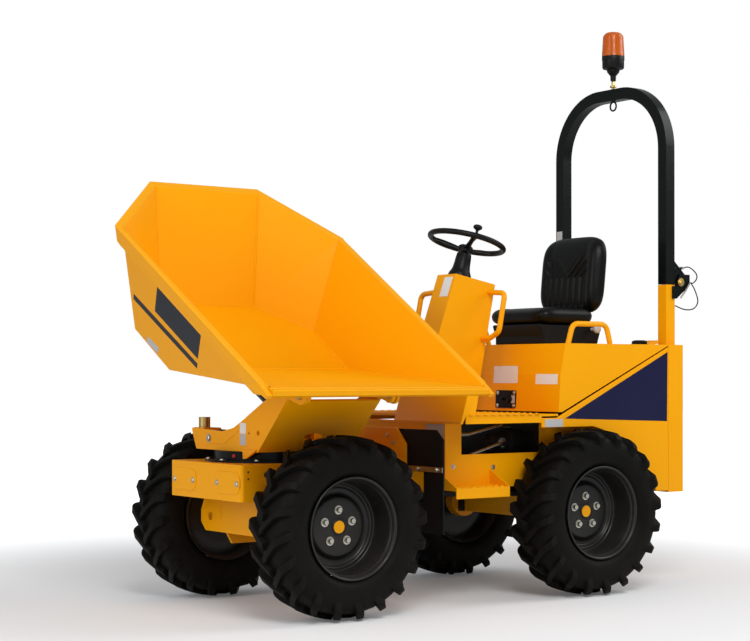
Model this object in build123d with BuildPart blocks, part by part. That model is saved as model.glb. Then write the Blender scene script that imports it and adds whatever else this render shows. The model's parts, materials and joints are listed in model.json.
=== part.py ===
from build123d import *
import os
from math import atan2, cos, degrees, hypot, radians, sin, tan

os.makedirs("parts", exist_ok=True)

# Articulated swivel-skip site dumper of the one-tonne class.
# Millimetres. X points to the machine's front, Y to its left, Z up, and the floor is Z = 0.
# Sizes below are measured from the machine's centre line and from the middle of the wheelbase.

# ---- wheels, axles and their places
wheelbase = 1356.0
track = 1030.0
tyre_od = 760.0
tyre_width = 250.0
tread_half = 84.0
shoulder_drop = 34.0
tread_drop = 23.0
wall_drop = 80.0
bead_open = 60.0
lug_count = 20
lug_lean = 37.6
lug_reach = 76.0
lug_toe = 8.0
lug_half = 15.0
bead_sides = 12
rim_barrel_r = 200.0
rim_flange_r = 212.0
rim_half = 112.0
rim_wall = 7.0
disc_inset = 34.0
disc_wall = 12.0
spindle_r = 32.0
hub_flange_r = 92.0
stud_circle_r = 70.0
stud_r = 9.0
stud_count = 5
axle_box = 96.0
axle_flange_r = 80.0
wheel_gap = 8.0
fit = 0.3

hub_z = tyre_od / 2
front_axle_x = wheelbase / 2
rear_axle_x = -wheelbase / 2
wheel_y = track / 2

# ---- centre pivot between the two frames
pivot_x = -80.0
pivot_pin_r = 22.0
yoke_half = 90.0
yoke_wall = 20.0
swing_half = 300.0

# ---- steering cylinder beside the pivot
steer_y = 190.0
steer_base_x = -330.0
steer_head_x = 110.0
steer_barrel_r = 28.0
steer_rod_r = 13.0
steer_eye_r = 24.0
steer_eye_half = 20.0
steer_pin_r = 12.0
steer_barrel_long = 290.0
steer_rod_start = 160.0

# ---- front frame and slew ring
front_box_front_x = front_axle_x + 344.0
front_box_back_x = front_axle_x - 348.0
front_box_half = 303.0
front_box_corner_r = 18.0
front_box_high = tyre_od - 123.0
front_box_low = front_box_high - 153.0
front_box_wall = 10.0
tongue_low = front_box_low - 14.0
tongue_high = front_box_high - 47.0
steer_z = (tongue_low + tongue_high) / 2
neck_half = 95.0
bracket_front_x = front_axle_x + 182.0
bracket_back_x = front_axle_x - 178.0
bracket_half = 165.0
yoke_plate_half = 330.0
yoke_plate_low = hub_z - 58.0
yoke_hole_y, yoke_hole_r = 247.0, 19.0
ring_low_r = 300.0
ring_low_wall = 10.0
ring_high_r = 262.0
ring_high_wall = 37.0
slew_x = front_axle_x

# ---- swivel frame, in its own directions: f forward (to the machine's left at rest), s across
swivel_floor_z = front_box_high + ring_low_wall + fit + ring_high_wall
swivel_floor_wall = 14.0
swivel_plate_half = 232.0
swivel_plate_wall = 12.0
swivel_tail_f = -316.0
swivel_tail_high = 92.0
swivel_waist_f = -54.0
swivel_waist_high = 81.0
swivel_floor_front_f = 248.0
tip_pin_f = 580.0
tip_pin_z = front_box_high + 288.0
tip_pin_r = 18.0
tip_eye_r = 38.0
lock_pin_f = -280.0
lock_pin_r = 26.0
lock_pin_high = front_box_high + 185.0

# ---- skip outline: f forward, z up, and the half width there
lip_f, lip_z = 830.0, tip_pin_z + 28.0
sill_f, sill_z = -110.0, tip_pin_z + 104.0
heel_f, heel_z = -600.0, tip_pin_z + 400.0
corner_f, corner_z = -342.0, tip_pin_z + 720.0
back_z = tip_pin_z + 941.0
facet_low_f, facet_low_z = -410.0, tip_pin_z + 275.0
skip_wall = 6.0
# half width at f = 0 on the tip pin's level, and how much it grows per millimetre forward and up
side_half_0 = 442.36
side_lean_f, side_lean_z = 0.0922, 0.2072
back_half_high = 270.0
skip_span = lip_f - 30.0
lip_half = 522.0
rim_out = 26.0
lip_nose = 24.0
rim_drop = 76.0
rim_gap = 44.0

# ---- tip cylinder
ram_base_f, ram_base_z = 220.0, tip_pin_z - 145.0
ram_head_f, ram_head_z = -330.0, tip_pin_z + 145.0
barrel_r = 42.0
rod_r = 21.0
ram_pin_r = 16.0
ram_eye_r = 34.0
ram_eye_half = 24.0

# ---- rear body
body_half = 490.0
panel_wall = 12.0
floor_z = tyre_od + 70.0
floor_lip = 38.0
floor_wall = 10.0
floor_front_x = 2.0
deck_z = floor_z + 323.0
bonnet_front_high_x = -570.0
bonnet_front_mid_x = -540.0
bonnet_front_low_x = -530.0
bonnet_mid_z = floor_z + 180.0
bonnet_low_z = floor_z + 8.0
seam = 6.0
weight_front_x = -1222.0
weight_back_x = -1350.0
weight_low_z = 444.0
weight_bevel = 62.0
wing_low_z = weight_low_z + 8.0
wing_front_x = bonnet_front_low_x + 10.0
wing_nose_x = -430.0
wing_tip_z = floor_z - 18.0
arch_clear = 8.0
arch_flat_z = tyre_od + arch_clear
chassis_half = 360.0
chassis_wall = 12.0
chassis_low_z = tongue_low + 30.0
chassis_high_z = tongue_high + 62.0
chassis_front_x = 20.0
chassis_window_front_x, chassis_window_back_x = -70.0, -520.0

# ---- boarding steps
step_front_x, step_back_x = 62.0, -236.0
step_out, step_z = 500.0, floor_z - 330.0
step_wall = 6.0
step_high = 83.0
step_lip = 34.0

# ---- rubber flaps behind the front wheels, on a cross plate; a window lets the steps by at full lock
flap_x = front_axle_x - tyre_od / 2 - 102.0
flap_wall = 8.0
flap_in, flap_out = 190.0, 592.0
flap_low, flap_high = 325.0, tyre_od + 12.0
flap_window_in, flap_window_out = 245.0, 450.0
flap_window_low, flap_window_high = step_z - step_lip - 11.0, step_z + step_high + 5.0
beam_x = flap_x + flap_wall
beam_wall = 12.0
beam_low, beam_high = front_box_high - 19.0, flap_high + 4.0
beam_half = 330.0

# ---- roll-over hoop
hoop_x = -1310.0
hoop_half = 385.0
hoop_tube = 58.0
hoop_joint_z = deck_z + 297.0
hoop_top_z = hoop_joint_z + 1000.0
hoop_bend_r = 300.0
hoop_pivot_x = -1408.0
hoop_pivot_z = hoop_joint_z + 24.0

# ---- towing jaw on the rear weight
hitch_x, hitch_z = -1400.0, 560.0
hitch_gap = 56.0
hitch_wall = 16.0
hitch_bore_r = 13.0
hitch_r = 34.0

# ---- the machine's centre line and mid-wheelbase, set so that the origin is under the middle of it all
rim_miter = hypot(1.0, side_lean_f, side_lean_z)
corner_half = side_half_0 + side_lean_f * corner_f + side_lean_z * (corner_z - tip_pin_z)
reach_front = slew_x + corner_half + rim_out * rim_miter
reach_back = -hitch_x + hitch_r
reach_left = lip_f + lip_nose
reach_right = wheel_y + tyre_width / 2
mid_x = (reach_back - reach_front) / 2
mid_y = (reach_right - reach_left) / 2


def level(z):
    """Horizontal plane at a height: sketch X forward, sketch Y left."""
    return Plane(origin=(mid_x, mid_y, z))


def side(y):
    """Upright plane along the machine: sketch X forward, sketch Y up; extrudes to the right."""
    return Plane(origin=(mid_x, mid_y + y, 0), x_dir=(1, 0, 0), z_dir=(0, -1, 0))


def across(x):
    """Upright plane across the machine: sketch X left, sketch Y up; extrudes forward."""
    return Plane(origin=(mid_x + x, mid_y, 0), x_dir=(0, 1, 0), z_dir=(1, 0, 0))


def hub_plane(x, y, turn):
    """Upright plane on an axle end: sketch X forward, sketch Y up; extrudes away from the machine."""
    return Plane(origin=(mid_x + x, mid_y + y, hub_z), x_dir=(turn, 0, 0), z_dir=(0, turn, 0))


def save(part, name):
    """Label a finished piece and write its STEP file."""
    part.label = name
    export_step(part, "parts/" + name + ".step")


# =========================================================== wheels
# columns: name, x of the axle, +1 left or -1 right
wheel_table = [
    ("front_left", front_axle_x, 1),
    ("front_right", front_axle_x, -1),
    ("rear_left", rear_axle_x, 1),
    ("rear_right", rear_axle_x, -1),
]
tyre_r = tyre_od / 2
bead_half = rim_half - 2 * rim_wall - fit
lug_mid = tyre_width / 2 - (lug_reach + lug_toe) * cos(radians(lug_lean)) - lug_half * sin(radians(lug_lean))
lug_across = lug_reach * sin(radians(lug_lean)) + lug_half * cos(radians(lug_lean))
lug_top_r = (tyre_r**2 - lug_across**2) ** 0.5
lug_pitch = 360.0 / lug_count
# turned so that a corner of one lug stands on the ground
lug_start = degrees(atan2(lug_across, lug_top_r)) - 90.0
lug_way = Vector(0, cos(radians(lug_lean)), sin(radians(lug_lean)))


def ring_plane(y):
    """Upright plane square to a wheel's axle at the origin."""
    return Plane(origin=(0, y, 0), x_dir=(1, 0, 0), z_dir=(0, 1, 0))


# a lug of the left half of a tyre whose axle is the Y axis, at the front of the tyre
with BuildPart() as lug_left:
    with BuildSketch(Plane(origin=(0, lug_mid, 0), x_dir=lug_way, z_dir=lug_way.cross(Vector(1, 0, 0)))):
        with BuildLine():
            Polyline(
                (-lug_reach, tyre_r - 2 * tread_drop),
                (-lug_reach, lug_top_r),
                (lug_reach - 20.0, lug_top_r + 1.0),
                (lug_reach + lug_toe, tyre_r - 2 * shoulder_drop),
                close=True,
            )
        make_face()
    extrude(amount=lug_half, both=True)
lug_right = mirror(lug_left.part, about=Plane.XZ)
lugs = []
for lug_index in range(lug_count):
    lug_turn = lug_start + lug_pitch * lug_index
    lugs.append(lug_left.part.rotate(Axis.Y, -lug_turn))
    lugs.append(lug_right.rotate(Axis.Y, -lug_turn - lug_pitch / 2))

# the whole tyre on that axle: a carcass with a flat side per lug, and its lugs
with BuildPart() as tyre_form:
    # columns: distance from the tyre's middle, radius
    for ring_y, ring_r in (
        (-tyre_width / 2, tyre_r - wall_drop),
        (-tread_half, tyre_r - tread_drop),
        (tread_half, tyre_r - tread_drop),
        (tyre_width / 2, tyre_r - wall_drop),
    ):
        with BuildSketch(ring_plane(ring_y)):
            RegularPolygon(ring_r, lug_count)
    loft(ruled=True)
    add(lugs)
    with BuildSketch(ring_plane(-tyre_width / 2)):
        RegularPolygon(rim_barrel_r + fit, bead_sides, major_radius=False)
    extrude(amount=tyre_width, mode=Mode.SUBTRACT)
    for turn in (1, -1):
        with BuildSketch(ring_plane(turn * tyre_width / 2)):
            RegularPolygon(rim_flange_r + bead_open, bead_sides, major_radius=False)
        with BuildSketch(ring_plane(turn * bead_half)):
            RegularPolygon(rim_barrel_r + fit, bead_sides, major_radius=False)
        loft(ruled=True, mode=Mode.SUBTRACT)

for place, axle_x, turn in wheel_table:
    axle_line = Axis((mid_x + axle_x, mid_y, hub_z), (0, 1, 0))
    wheel_level = Plane(origin=(mid_x + axle_x, mid_y + turn * wheel_y, hub_z))
    with BuildPart() as tyre:
        add(tyre_form.part.moved(Location((mid_x + axle_x, mid_y + turn * wheel_y, hub_z))))
    save(tyre.part, "tyre_" + place)

    disc_y = -turn * disc_inset
    with BuildPart() as rim:
        with BuildSketch(wheel_level):
            with BuildLine():
                Polyline(
                    (rim_barrel_r - rim_wall, -rim_half),
                    (rim_flange_r, -rim_half),
                    (rim_flange_r, -rim_half + rim_wall),
                    (rim_barrel_r, -rim_half + 2 * rim_wall),
                    (rim_barrel_r, rim_half - 2 * rim_wall),
                    (rim_flange_r, rim_half - rim_wall),
                    (rim_flange_r, rim_half),
                    (rim_barrel_r - rim_wall, rim_half),
                    close=True,
                )
            make_face()
            with Locations((rim_barrel_r / 2, disc_y)):
                Rectangle(rim_barrel_r - 2 * 10.0, disc_wall)
            with Locations((rim_barrel_r - rim_wall - 14.0, disc_y + turn * 14.0)):
                Rectangle(40.0, 22.0)
            with Locations((hub_flange_r / 2 + spindle_r / 2, disc_y + turn * 10.0)):
                Rectangle(hub_flange_r - spindle_r, 24.0)
        revolve(axis=axle_line)
        hub_face = wheel_y - disc_inset + 22.0
        with BuildSketch(hub_plane(axle_x, turn * (hub_face - 40.0), turn)):
            Circle(spindle_r + fit)
        extrude(amount=80.0, mode=Mode.SUBTRACT)
        with BuildSketch(hub_plane(axle_x, turn * (hub_face - 2.0), turn)):
            with PolarLocations(stud_circle_r, stud_count):
                Circle(stud_r)
        extrude(amount=16.0)
    save(rim.part, "rim_" + place)

# =========================================================== axles
spindle_end = wheel_y - disc_inset + 30.0
flange_out = wheel_y - disc_inset - disc_wall / 2 - wheel_gap
# columns: node name, x of the axle, height where the frame sits on it
axle_table = [
    ("front_axle", front_axle_x, hub_z),
    ("rear_axle", rear_axle_x, hub_z),
]
for name, axle_x, height in axle_table:
    with BuildPart() as axle:
        with BuildSketch(side(flange_out - 60.0)):
            with Locations((axle_x, height)):
                Rectangle(axle_box, axle_box)
        extrude(amount=2 * (flange_out - 60.0))
        with BuildSketch(side(flange_out)):
            with Locations((axle_x, height)):
                Circle(axle_flange_r)
        extrude(amount=60.0)
        with BuildSketch(side(spindle_end)):
            with Locations((axle_x, height)):
                Circle(spindle_r)
        extrude(amount=spindle_end - flange_out)
        mirror(about=side(0))
    save(axle.part, name)

# =========================================================== front frame
with BuildPart() as front_chassis:
    # open-bottomed box under the slew ring
    with BuildSketch(level(front_box_low)):
        with Locations(((front_box_front_x + front_box_back_x) / 2, 0)):
            Rectangle(front_box_front_x - front_box_back_x, 2 * front_box_half)
    extrude(amount=front_box_high - front_box_low)
    fillet(front_chassis.edges().filter_by(Axis.Z).group_by(Axis.X)[-1], radius=front_box_corner_r)
    with BuildSketch(level(front_box_low)):
        with Locations(((front_box_front_x + front_box_back_x) / 2, 0)):
            Rectangle(
                front_box_front_x - front_box_back_x - 2 * front_box_wall,
                2 * (front_box_half - front_box_wall),
            )
    extrude(amount=front_box_high - front_box_low - front_box_wall, mode=Mode.SUBTRACT)
    # neck back to the pivot, and the eye that the pivot pin goes through
    with BuildSketch(level(tongue_low)):
        with Locations(((front_box_back_x + front_box_wall + pivot_x) / 2, 0)):
            Rectangle(front_box_back_x + front_box_wall - pivot_x, 2 * neck_half - 40.0)
        with Locations((pivot_x, 0)):
            Circle(neck_half - 20.0)
        with Locations((pivot_x, 0)):
            Circle(pivot_pin_r + fit, mode=Mode.SUBTRACT)
    extrude(amount=tongue_high - tongue_low)
    # lug that the steering cylinder pushes on
    with BuildSketch(level(steer_z - 12.0)):
        with Locations((steer_head_x, -(neck_half + steer_y) / 2 + 20.0)):
            Rectangle(60.0, steer_y - neck_half + 40.0)
        with Locations((steer_head_x, -steer_y)):
            Circle(30.0)
    extrude(amount=24.0)
    with BuildSketch(level(steer_z - 12.0)):
        with Locations((steer_head_x, -steer_y)):
            Rectangle(84.0, 84.0)
    extrude(amount=24.0, mode=Mode.SUBTRACT)
    for low in (steer_z - 34.0, steer_z + 22.0):
        with BuildSketch(level(low)):
            with Locations((steer_head_x, -(neck_half - 30.0 + steer_y) / 2)):
                Rectangle(56.0, steer_y - neck_half + 30.0)
            with Locations((steer_head_x, -steer_y)):
                Circle(28.0)
        extrude(amount=12.0)
    # axle bracket: two side plates under the box with a cross plate at each end
    with BuildSketch(side(bracket_half)):
        with BuildLine():
            Polyline(
                (bracket_front_x, front_box_low + 1.0),
                (bracket_front_x, hub_z),
                (bracket_front_x - 60.0, hub_z - 110.0),
                (bracket_back_x + 40.0, hub_z - 110.0),
                (bracket_back_x, hub_z),
                (bracket_back_x, front_box_low + 1.0),
                close=True,
            )
        make_face()
        with Locations((front_axle_x, hub_z)):
            Rectangle(axle_box, axle_box, mode=Mode.SUBTRACT)
        with Locations((bracket_front_x - 32.0, hub_z + 8.0)):
            Circle(15.0, mode=Mode.SUBTRACT)
    extrude(amount=14.0)
    mirror(about=side(0))
    with BuildSketch(across(bracket_front_x - 15.0)):
        with BuildLine():
            Polyline(
                (-yoke_plate_half + 40.0, front_box_low + 1.0),
                (-yoke_plate_half, hub_z + 30.0),
                (-yoke_plate_half, hub_z - 20.0),
                (-yoke_plate_half + 40.0, yoke_plate_low),
                (yoke_plate_half - 40.0, yoke_plate_low),
                (yoke_plate_half, hub_z - 20.0),
                (yoke_plate_half, hub_z + 30.0),
                (yoke_plate_half - 40.0, front_box_low + 1.0),
                close=True,
            )
        make_face()
        with Locations((yoke_hole_y, hub_z + 7.0), (-yoke_hole_y, hub_z + 7.0)):
            Circle(yoke_hole_r, mode=Mode.SUBTRACT)
    extrude(amount=12.0)
    with BuildSketch(level(front_box_low)):
        with Locations(((bracket_front_x + bracket_back_x) / 2, 0)):
            Rectangle(bracket_front_x - bracket_back_x, 2 * front_box_half)
        with Locations((slew_x, 0)):
            Circle(90.0, mode=Mode.SUBTRACT)
    extrude(amount=12.0)
    with BuildSketch(across(front_box_back_x)):
        with Locations((0, (front_box_low + front_box_high) / 2)):
            Rectangle(2 * front_box_half, front_box_high - front_box_low)
    extrude(amount=front_box_wall)
save(front_chassis.part, "front_chassis")

with BuildPart() as ring_lower:
    with BuildSketch(level(front_box_high)):
        with Locations((slew_x, 0)):
            Circle(ring_low_r)
            Circle(ring_low_r - 110.0, mode=Mode.SUBTRACT)
        with Locations((slew_x, 0)):
            with PolarLocations(ring_low_r - 16.0, 16):
                Circle(4.0, mode=Mode.SUBTRACT)
    extrude(amount=ring_low_wall)
save(ring_lower.part, "slew_ring_lower")

# cross plate that carries the flaps
with BuildPart() as flap_beam:
    with BuildSketch(across(beam_x)):
        with BuildLine():
            Polyline(
                (-beam_half, beam_low),
                (beam_half, beam_low),
                (beam_half, beam_high - 70.0),
                (beam_half - 70.0, beam_high),
                (-beam_half + 70.0, beam_high),
                (-beam_half, beam_high - 70.0),
                close=True,
            )
        make_face()
    extrude(amount=beam_wall)
    # two struts forward to the back of the box
    with BuildSketch(side(flap_in)):
        with Locations(((beam_x + beam_wall + front_box_back_x) / 2, (beam_low + front_box_high) / 2 - 30.0)):
            Rectangle(front_box_back_x - beam_x - beam_wall, 60.0)
        with Locations((beam_x + beam_wall / 2, beam_low - 10.0)):
            Rectangle(beam_wall, 62.0)
    extrude(amount=16.0)
    mirror(about=side(0))
save(flap_beam.part, "flap_beam")
with BuildPart() as flaps:
    with BuildSketch(across(flap_x)):
        for turn in (1, -1):
            with BuildLine():
                Polyline(
                    (turn * flap_in, flap_low),
                    (turn * flap_out, flap_low),
                    (turn * flap_out, flap_high - 42.0),
                    (turn * (flap_out - 50.0), flap_high),
                    (turn * flap_in, flap_high),
                    close=True,
                )
            make_face()
            with Locations(
                (turn * (flap_window_in + flap_window_out) / 2, (flap_window_low + flap_window_high) / 2)
            ):
                Rectangle(
                    flap_window_out - flap_window_in,
                    flap_window_high - flap_window_low,
                    mode=Mode.SUBTRACT,
                )
    extrude(amount=flap_wall)
save(flaps.part, "flaps")

# =========================================================== swivel frame
swivel_top = swivel_floor_z + swivel_floor_wall
with BuildPart() as ring_upper:
    with BuildSketch(level(front_box_high + ring_low_wall + fit)):
        with Locations((slew_x, 0)):
            Circle(ring_high_r)
            Circle(ring_high_r - 90.0, mode=Mode.SUBTRACT)
    extrude(amount=ring_high_wall)
save(ring_upper.part, "slew_ring_upper")

with BuildPart() as swivel_frame:
    with BuildSketch(level(swivel_floor_z)):
        with Locations((slew_x, (swivel_tail_f + 40.0 + swivel_floor_front_f) / 2)):
            Rectangle(2 * swivel_plate_half, swivel_floor_front_f - swivel_tail_f - 40.0)
        with Locations((slew_x, 0)):
            Circle(70.0, mode=Mode.SUBTRACT)
    extrude(amount=swivel_floor_wall)
    # two upright side plates
    for edge in (-swivel_plate_half, swivel_plate_half - swivel_plate_wall):
        with BuildSketch(across(slew_x + edge)):
            with BuildLine():
                Polyline(
                    (swivel_tail_f + 40.0, swivel_floor_z),
                    (swivel_tail_f, swivel_floor_z + 78.0),
                    (swivel_tail_f, swivel_floor_z + swivel_tail_high),
                    (swivel_waist_f, swivel_floor_z + swivel_waist_high),
                    (swivel_waist_f + 99.0, swivel_floor_z + swivel_waist_high + 18.0),
                    (swivel_waist_f + 174.0, swivel_floor_z + swivel_waist_high + 50.0),
                    (tip_pin_f - 160.0, tip_pin_z + 30.0),
                    (tip_pin_f, tip_pin_z + tip_eye_r),
                    (tip_pin_f, tip_pin_z - tip_eye_r),
                    (tip_pin_f - 97.0, tip_pin_z - 15.0),
                    (swivel_floor_front_f, swivel_floor_z),
                    close=True,
                )
            make_face()
            with Locations((tip_pin_f, tip_pin_z)):
                Circle(tip_eye_r)
            with Locations((tip_pin_f, tip_pin_z)):
                Circle(tip_pin_r, mode=Mode.SUBTRACT)
            with Locations((swivel_floor_front_f + 2.0, swivel_floor_z + swivel_waist_high)):
                Circle(11.0, mode=Mode.SUBTRACT)
        extrude(amount=swivel_plate_wall)
    # inclined front plate between the side plates, with an oval hole
    slope_turn = atan2(tip_pin_z - 15.0 - swivel_floor_z, tip_pin_f - 97.0 - swivel_floor_front_f)
    slope_long = (tip_pin_f - 107.0 - swivel_floor_front_f) / cos(slope_turn)
    slope_plane = Plane(
        origin=(mid_x + slew_x, mid_y + swivel_floor_front_f, swivel_floor_z),
        x_dir=(-1, 0, 0),
        z_dir=(0, -sin(slope_turn), cos(slope_turn)),
    )
    with BuildSketch(slope_plane):
        with Locations((0, -slope_long / 2)):
            Rectangle(2 * swivel_plate_half - swivel_plate_wall, slope_long)
        with Locations((0, -slope_long * 0.28)):
            Ellipse(46.0, 24.0, mode=Mode.SUBTRACT)
    extrude(amount=10.0)
    # stop tab under the floor's edge
    with BuildSketch(across(slew_x + swivel_plate_half - 4.0)):
        with BuildLine():
            Polyline(
                (136.0, swivel_floor_z + 8.0),
                (139.0, swivel_floor_z - ring_high_wall + 6.0),
                (168.0, swivel_floor_z - ring_high_wall + 9.0),
                (244.0, swivel_floor_z + 8.0),
                close=True,
            )
        make_face()
    extrude(amount=12.0)
    # tail cross plate
    with BuildSketch(side(lock_pin_f + lock_pin_r + 14.0)):
        with Locations((slew_x, swivel_floor_z + 36.0)):
            Rectangle(2 * swivel_plate_half - swivel_plate_wall, 72.0)
    extrude(amount=10.0)
    lock_pin_s = swivel_plate_half - swivel_plate_wall - lock_pin_r - 4.0
    with BuildSketch(level(swivel_floor_z + swivel_tail_high - 10.0)):
        with Locations((slew_x + lock_pin_s - 10.0, lock_pin_f + 16.0)):
            Rectangle(2 * lock_pin_r + 32.0, 2 * lock_pin_r + 32.0)
        with Locations((slew_x + lock_pin_s, lock_pin_f)):
            Circle(lock_pin_r + fit, mode=Mode.SUBTRACT)
    extrude(amount=10.0)
    # lugs of the tip cylinder's base pin
    for edge in (-ram_eye_half - 17.0, ram_eye_half + 1.0):
        with BuildSketch(across(slew_x + edge)):
            with BuildLine():
                Polyline(
                    (ram_base_f - 60.0, swivel_floor_z),
                    (ram_base_f + 28.0, swivel_floor_z),
                    (ram_base_f + 34.0, ram_base_z),
                    (ram_base_f - 34.0, ram_base_z),
                    close=True,
                )
            make_face()
            with Locations((ram_base_f, ram_base_z)):
                Circle(ram_eye_r)
        extrude(amount=16.0)
    with BuildSketch(across(slew_x - ram_eye_half - 17.0)):
        with Locations((ram_base_f, ram_base_z)):
            Circle(ram_pin_r)
    extrude(amount=2 * ram_eye_half + 34.0)
save(swivel_frame.part, "swivel_frame")

with BuildPart() as swivel_pins:
    for edge in (-swivel_plate_half - 10.0, swivel_plate_half - swivel_plate_wall - 24.0):
        with BuildSketch(across(slew_x + edge)):
            with Locations((tip_pin_f, tip_pin_z)):
                Circle(tip_pin_r)
        extrude(amount=swivel_plate_wall + 34.0)

    # upright pin that locks the swivel
    with BuildSketch(level(swivel_floor_z + swivel_tail_high - 26.0)):
        with Locations((slew_x + lock_pin_s, lock_pin_f)):
            Circle(lock_pin_r)
    extrude(amount=lock_pin_high - swivel_floor_z - swivel_tail_high + 26.0)
save(swivel_pins.part, "swivel_pins")

# =========================================================== skip
# seen from the side, the skip is a floor, a steeper ramp, an upright back and a rim that kinks up
rim_slope = (corner_z - lip_z) / (lip_f - corner_f)
back_slope = (back_z - corner_z) / (corner_f - heel_f)


def side_half(f, z):
    """Half width of the skip at a place on its side wall."""
    return side_half_0 + side_lean_f * f + side_lean_z * (z - tip_pin_z)


def side_wall_plane(turn):
    """Plane of a flat side wall, facing outwards."""
    return Plane(
        origin=(mid_x + slew_x + turn * side_half_0, mid_y, tip_pin_z),
        z_dir=(turn, -side_lean_f, -side_lean_z),
    )


def corner_plane(turn):
    """Plane of a flat corner facet between side wall and back, facing outwards."""
    rim_point = Vector(turn * side_half(corner_f, corner_z), corner_f, corner_z)
    low_point = Vector(turn * side_half(facet_low_f, facet_low_z), facet_low_f, facet_low_z)
    back_point = Vector(turn * back_half_high, heel_f, back_z)
    normal = (low_point - rim_point).cross(back_point - rim_point) * turn
    if normal.Y > 0:
        normal = normal * -1.0
    return Plane(origin=rim_point + Vector(mid_x + slew_x, mid_y, 0), z_dir=normal)


floor_slope = (sill_z - lip_z) / (lip_f - sill_f)
with BuildPart() as skip_form:
    # the five flat sheets, carried on above the rim and past the lip
    with BuildSketch(across(slew_x - skip_span)):
        with BuildLine():
            Polyline(
                (lip_f + skip_span, lip_z - floor_slope * skip_span),
                (sill_f, sill_z),
                (heel_f, heel_z),
                (heel_f, back_z + skip_span),
                (lip_f + skip_span, back_z + skip_span),
                close=True,
            )
        make_face()
    extrude(amount=2 * skip_span)
    for turn in (1, -1):
        split(bisect_by=side_wall_plane(turn), keep=Keep.BOTTOM)
        split(bisect_by=corner_plane(turn), keep=Keep.BOTTOM)
with BuildPart() as skip_hollow:
    add(skip_form.part)
    offset(amount=-skip_wall, kind=Kind.INTERSECTION)
with BuildPart() as skip_block:
    add(skip_form.part)
    with BuildSketch(across(slew_x - skip_span)):
        with BuildLine():
            Polyline(
                (lip_f, lip_z),
                (sill_f, sill_z),
                (heel_f, heel_z),
                (heel_f, back_z),
                (corner_f, corner_z),
                close=True,
            )
        make_face()
    extrude(amount=2 * skip_span, mode=Mode.INTERSECT)
with BuildPart() as skip_shell:
    add(skip_block.part)
    add(skip_hollow.part, mode=Mode.SUBTRACT)
save(skip_shell.part, "skip_shell")

# folded rim band round the outside, down from the open edge
with BuildPart() as skip_rim:
    add(skip_form.part)
    offset(amount=rim_out, kind=Kind.INTERSECTION)
    with BuildSketch(across(slew_x - skip_span)):
        with BuildLine():
            Polyline(
                (lip_f - rim_gap, lip_z + rim_slope * rim_gap),
                (corner_f, corner_z),
                (heel_f - 2 * rim_out, back_z + back_slope * 2 * rim_out),
                (heel_f - 2 * rim_out, back_z + back_slope * 2 * rim_out - rim_drop),
                (corner_f, corner_z - rim_drop),
                (lip_f - rim_gap, lip_z + rim_slope * rim_gap - rim_drop),
                close=True,
            )
        make_face()
    extrude(amount=2 * skip_span, mode=Mode.INTERSECT)
    # lip bar folded down along the pouring edge
    with BuildSketch(across(slew_x - lip_half)):
        with BuildLine():
            Polyline(
                (lip_f - 34.0, lip_z - 30.0),
                (lip_f - 34.0, lip_z + 3.2),
                (lip_f, lip_z + 0.5),
                (lip_f + 10.0, lip_z + 8.0),
                (lip_f + lip_nose, lip_z - 6.0),
                (lip_f + lip_nose - 6.0, lip_z - 26.0),
                (lip_f, lip_z - 32.0),
                close=True,
            )
        make_face()
    extrude(amount=2 * lip_half)
    # end plates that close the rim band down to the lip
    for turn in (1, -1):
        with BuildSketch(across(slew_x + turn * (lip_half + 14.0) - 12.0)):
            with BuildLine():
                Polyline(
                    (lip_f - 108.0, lip_z + 12.0),
                    (lip_f - 82.0, lip_z + rim_slope * 82.0),
                    (lip_f - 44.0, lip_z + rim_slope * 44.0),
                    (lip_f + lip_nose, lip_z - 24.0),
                    (lip_f + lip_nose - 14.0, lip_z - 38.0),
                    (lip_f - 10.0, lip_z - 28.0),
                    close=True,
                )
            make_face()
        extrude(amount=24.0)
    add(skip_form.part, mode=Mode.SUBTRACT)
save(skip_rim.part, "skip_rim")

# hinge lugs under the floor and the clevis that the cylinder pushes on
with BuildPart() as skip_lugs:
    for edge in (-swivel_plate_half + swivel_plate_wall + 5.0, swivel_plate_half - swivel_plate_wall - 21.0):
        with BuildSketch(across(slew_x + edge)):
            with BuildLine():
                Polyline(
                    (tip_pin_f - 80.0, tip_pin_z + 120.0),
                    (tip_pin_f - 34.0, tip_pin_z),
                    (tip_pin_f + 34.0, tip_pin_z),
                    (tip_pin_f + 80.0, tip_pin_z + 120.0),
                    close=True,
                )
            make_face()
            with Locations((tip_pin_f, tip_pin_z)):
                Circle(34.0)
            with Locations((tip_pin_f, tip_pin_z)):
                Circle(tip_pin_r + fit, mode=Mode.SUBTRACT)
        extrude(amount=16.0)
    for edge in (-ram_eye_half - 17.0, ram_eye_half + 1.0):
        with BuildSketch(across(slew_x + edge)):
            with BuildLine():
                Polyline(
                    (ram_head_f - 30.0, ram_head_z - 10.0),
                    (ram_head_f + 30.0, ram_head_z - 10.0),
                    (ram_head_f + 90.0, ram_head_z + 180.0),
                    (ram_head_f - 90.0, ram_head_z + 180.0),
                    close=True,
                )
            make_face()
            with Locations((ram_head_f, ram_head_z)):
                Circle(32.0)
        extrude(amount=16.0)
    add(skip_form.part, mode=Mode.SUBTRACT)
save(skip_lugs.part, "skip_lugs")

# =========================================================== tip cylinder
ram_angle = degrees(atan2(ram_head_z - ram_base_z, ram_head_f - ram_base_f))
ram_long = hypot(ram_head_z - ram_base_z, ram_head_f - ram_base_f)
barrel_long = ram_long - 74.0
ram_across = Vector(0, cos(radians(ram_angle)), sin(radians(ram_angle)))


def ram_plane(along):
    """Plane square to the tip cylinder, at a distance from its base pin."""
    foot = Vector(mid_x + slew_x, mid_y + ram_base_f, ram_base_z)
    return Plane(origin=foot + ram_across * along, x_dir=(1, 0, 0), z_dir=ram_across)


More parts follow.
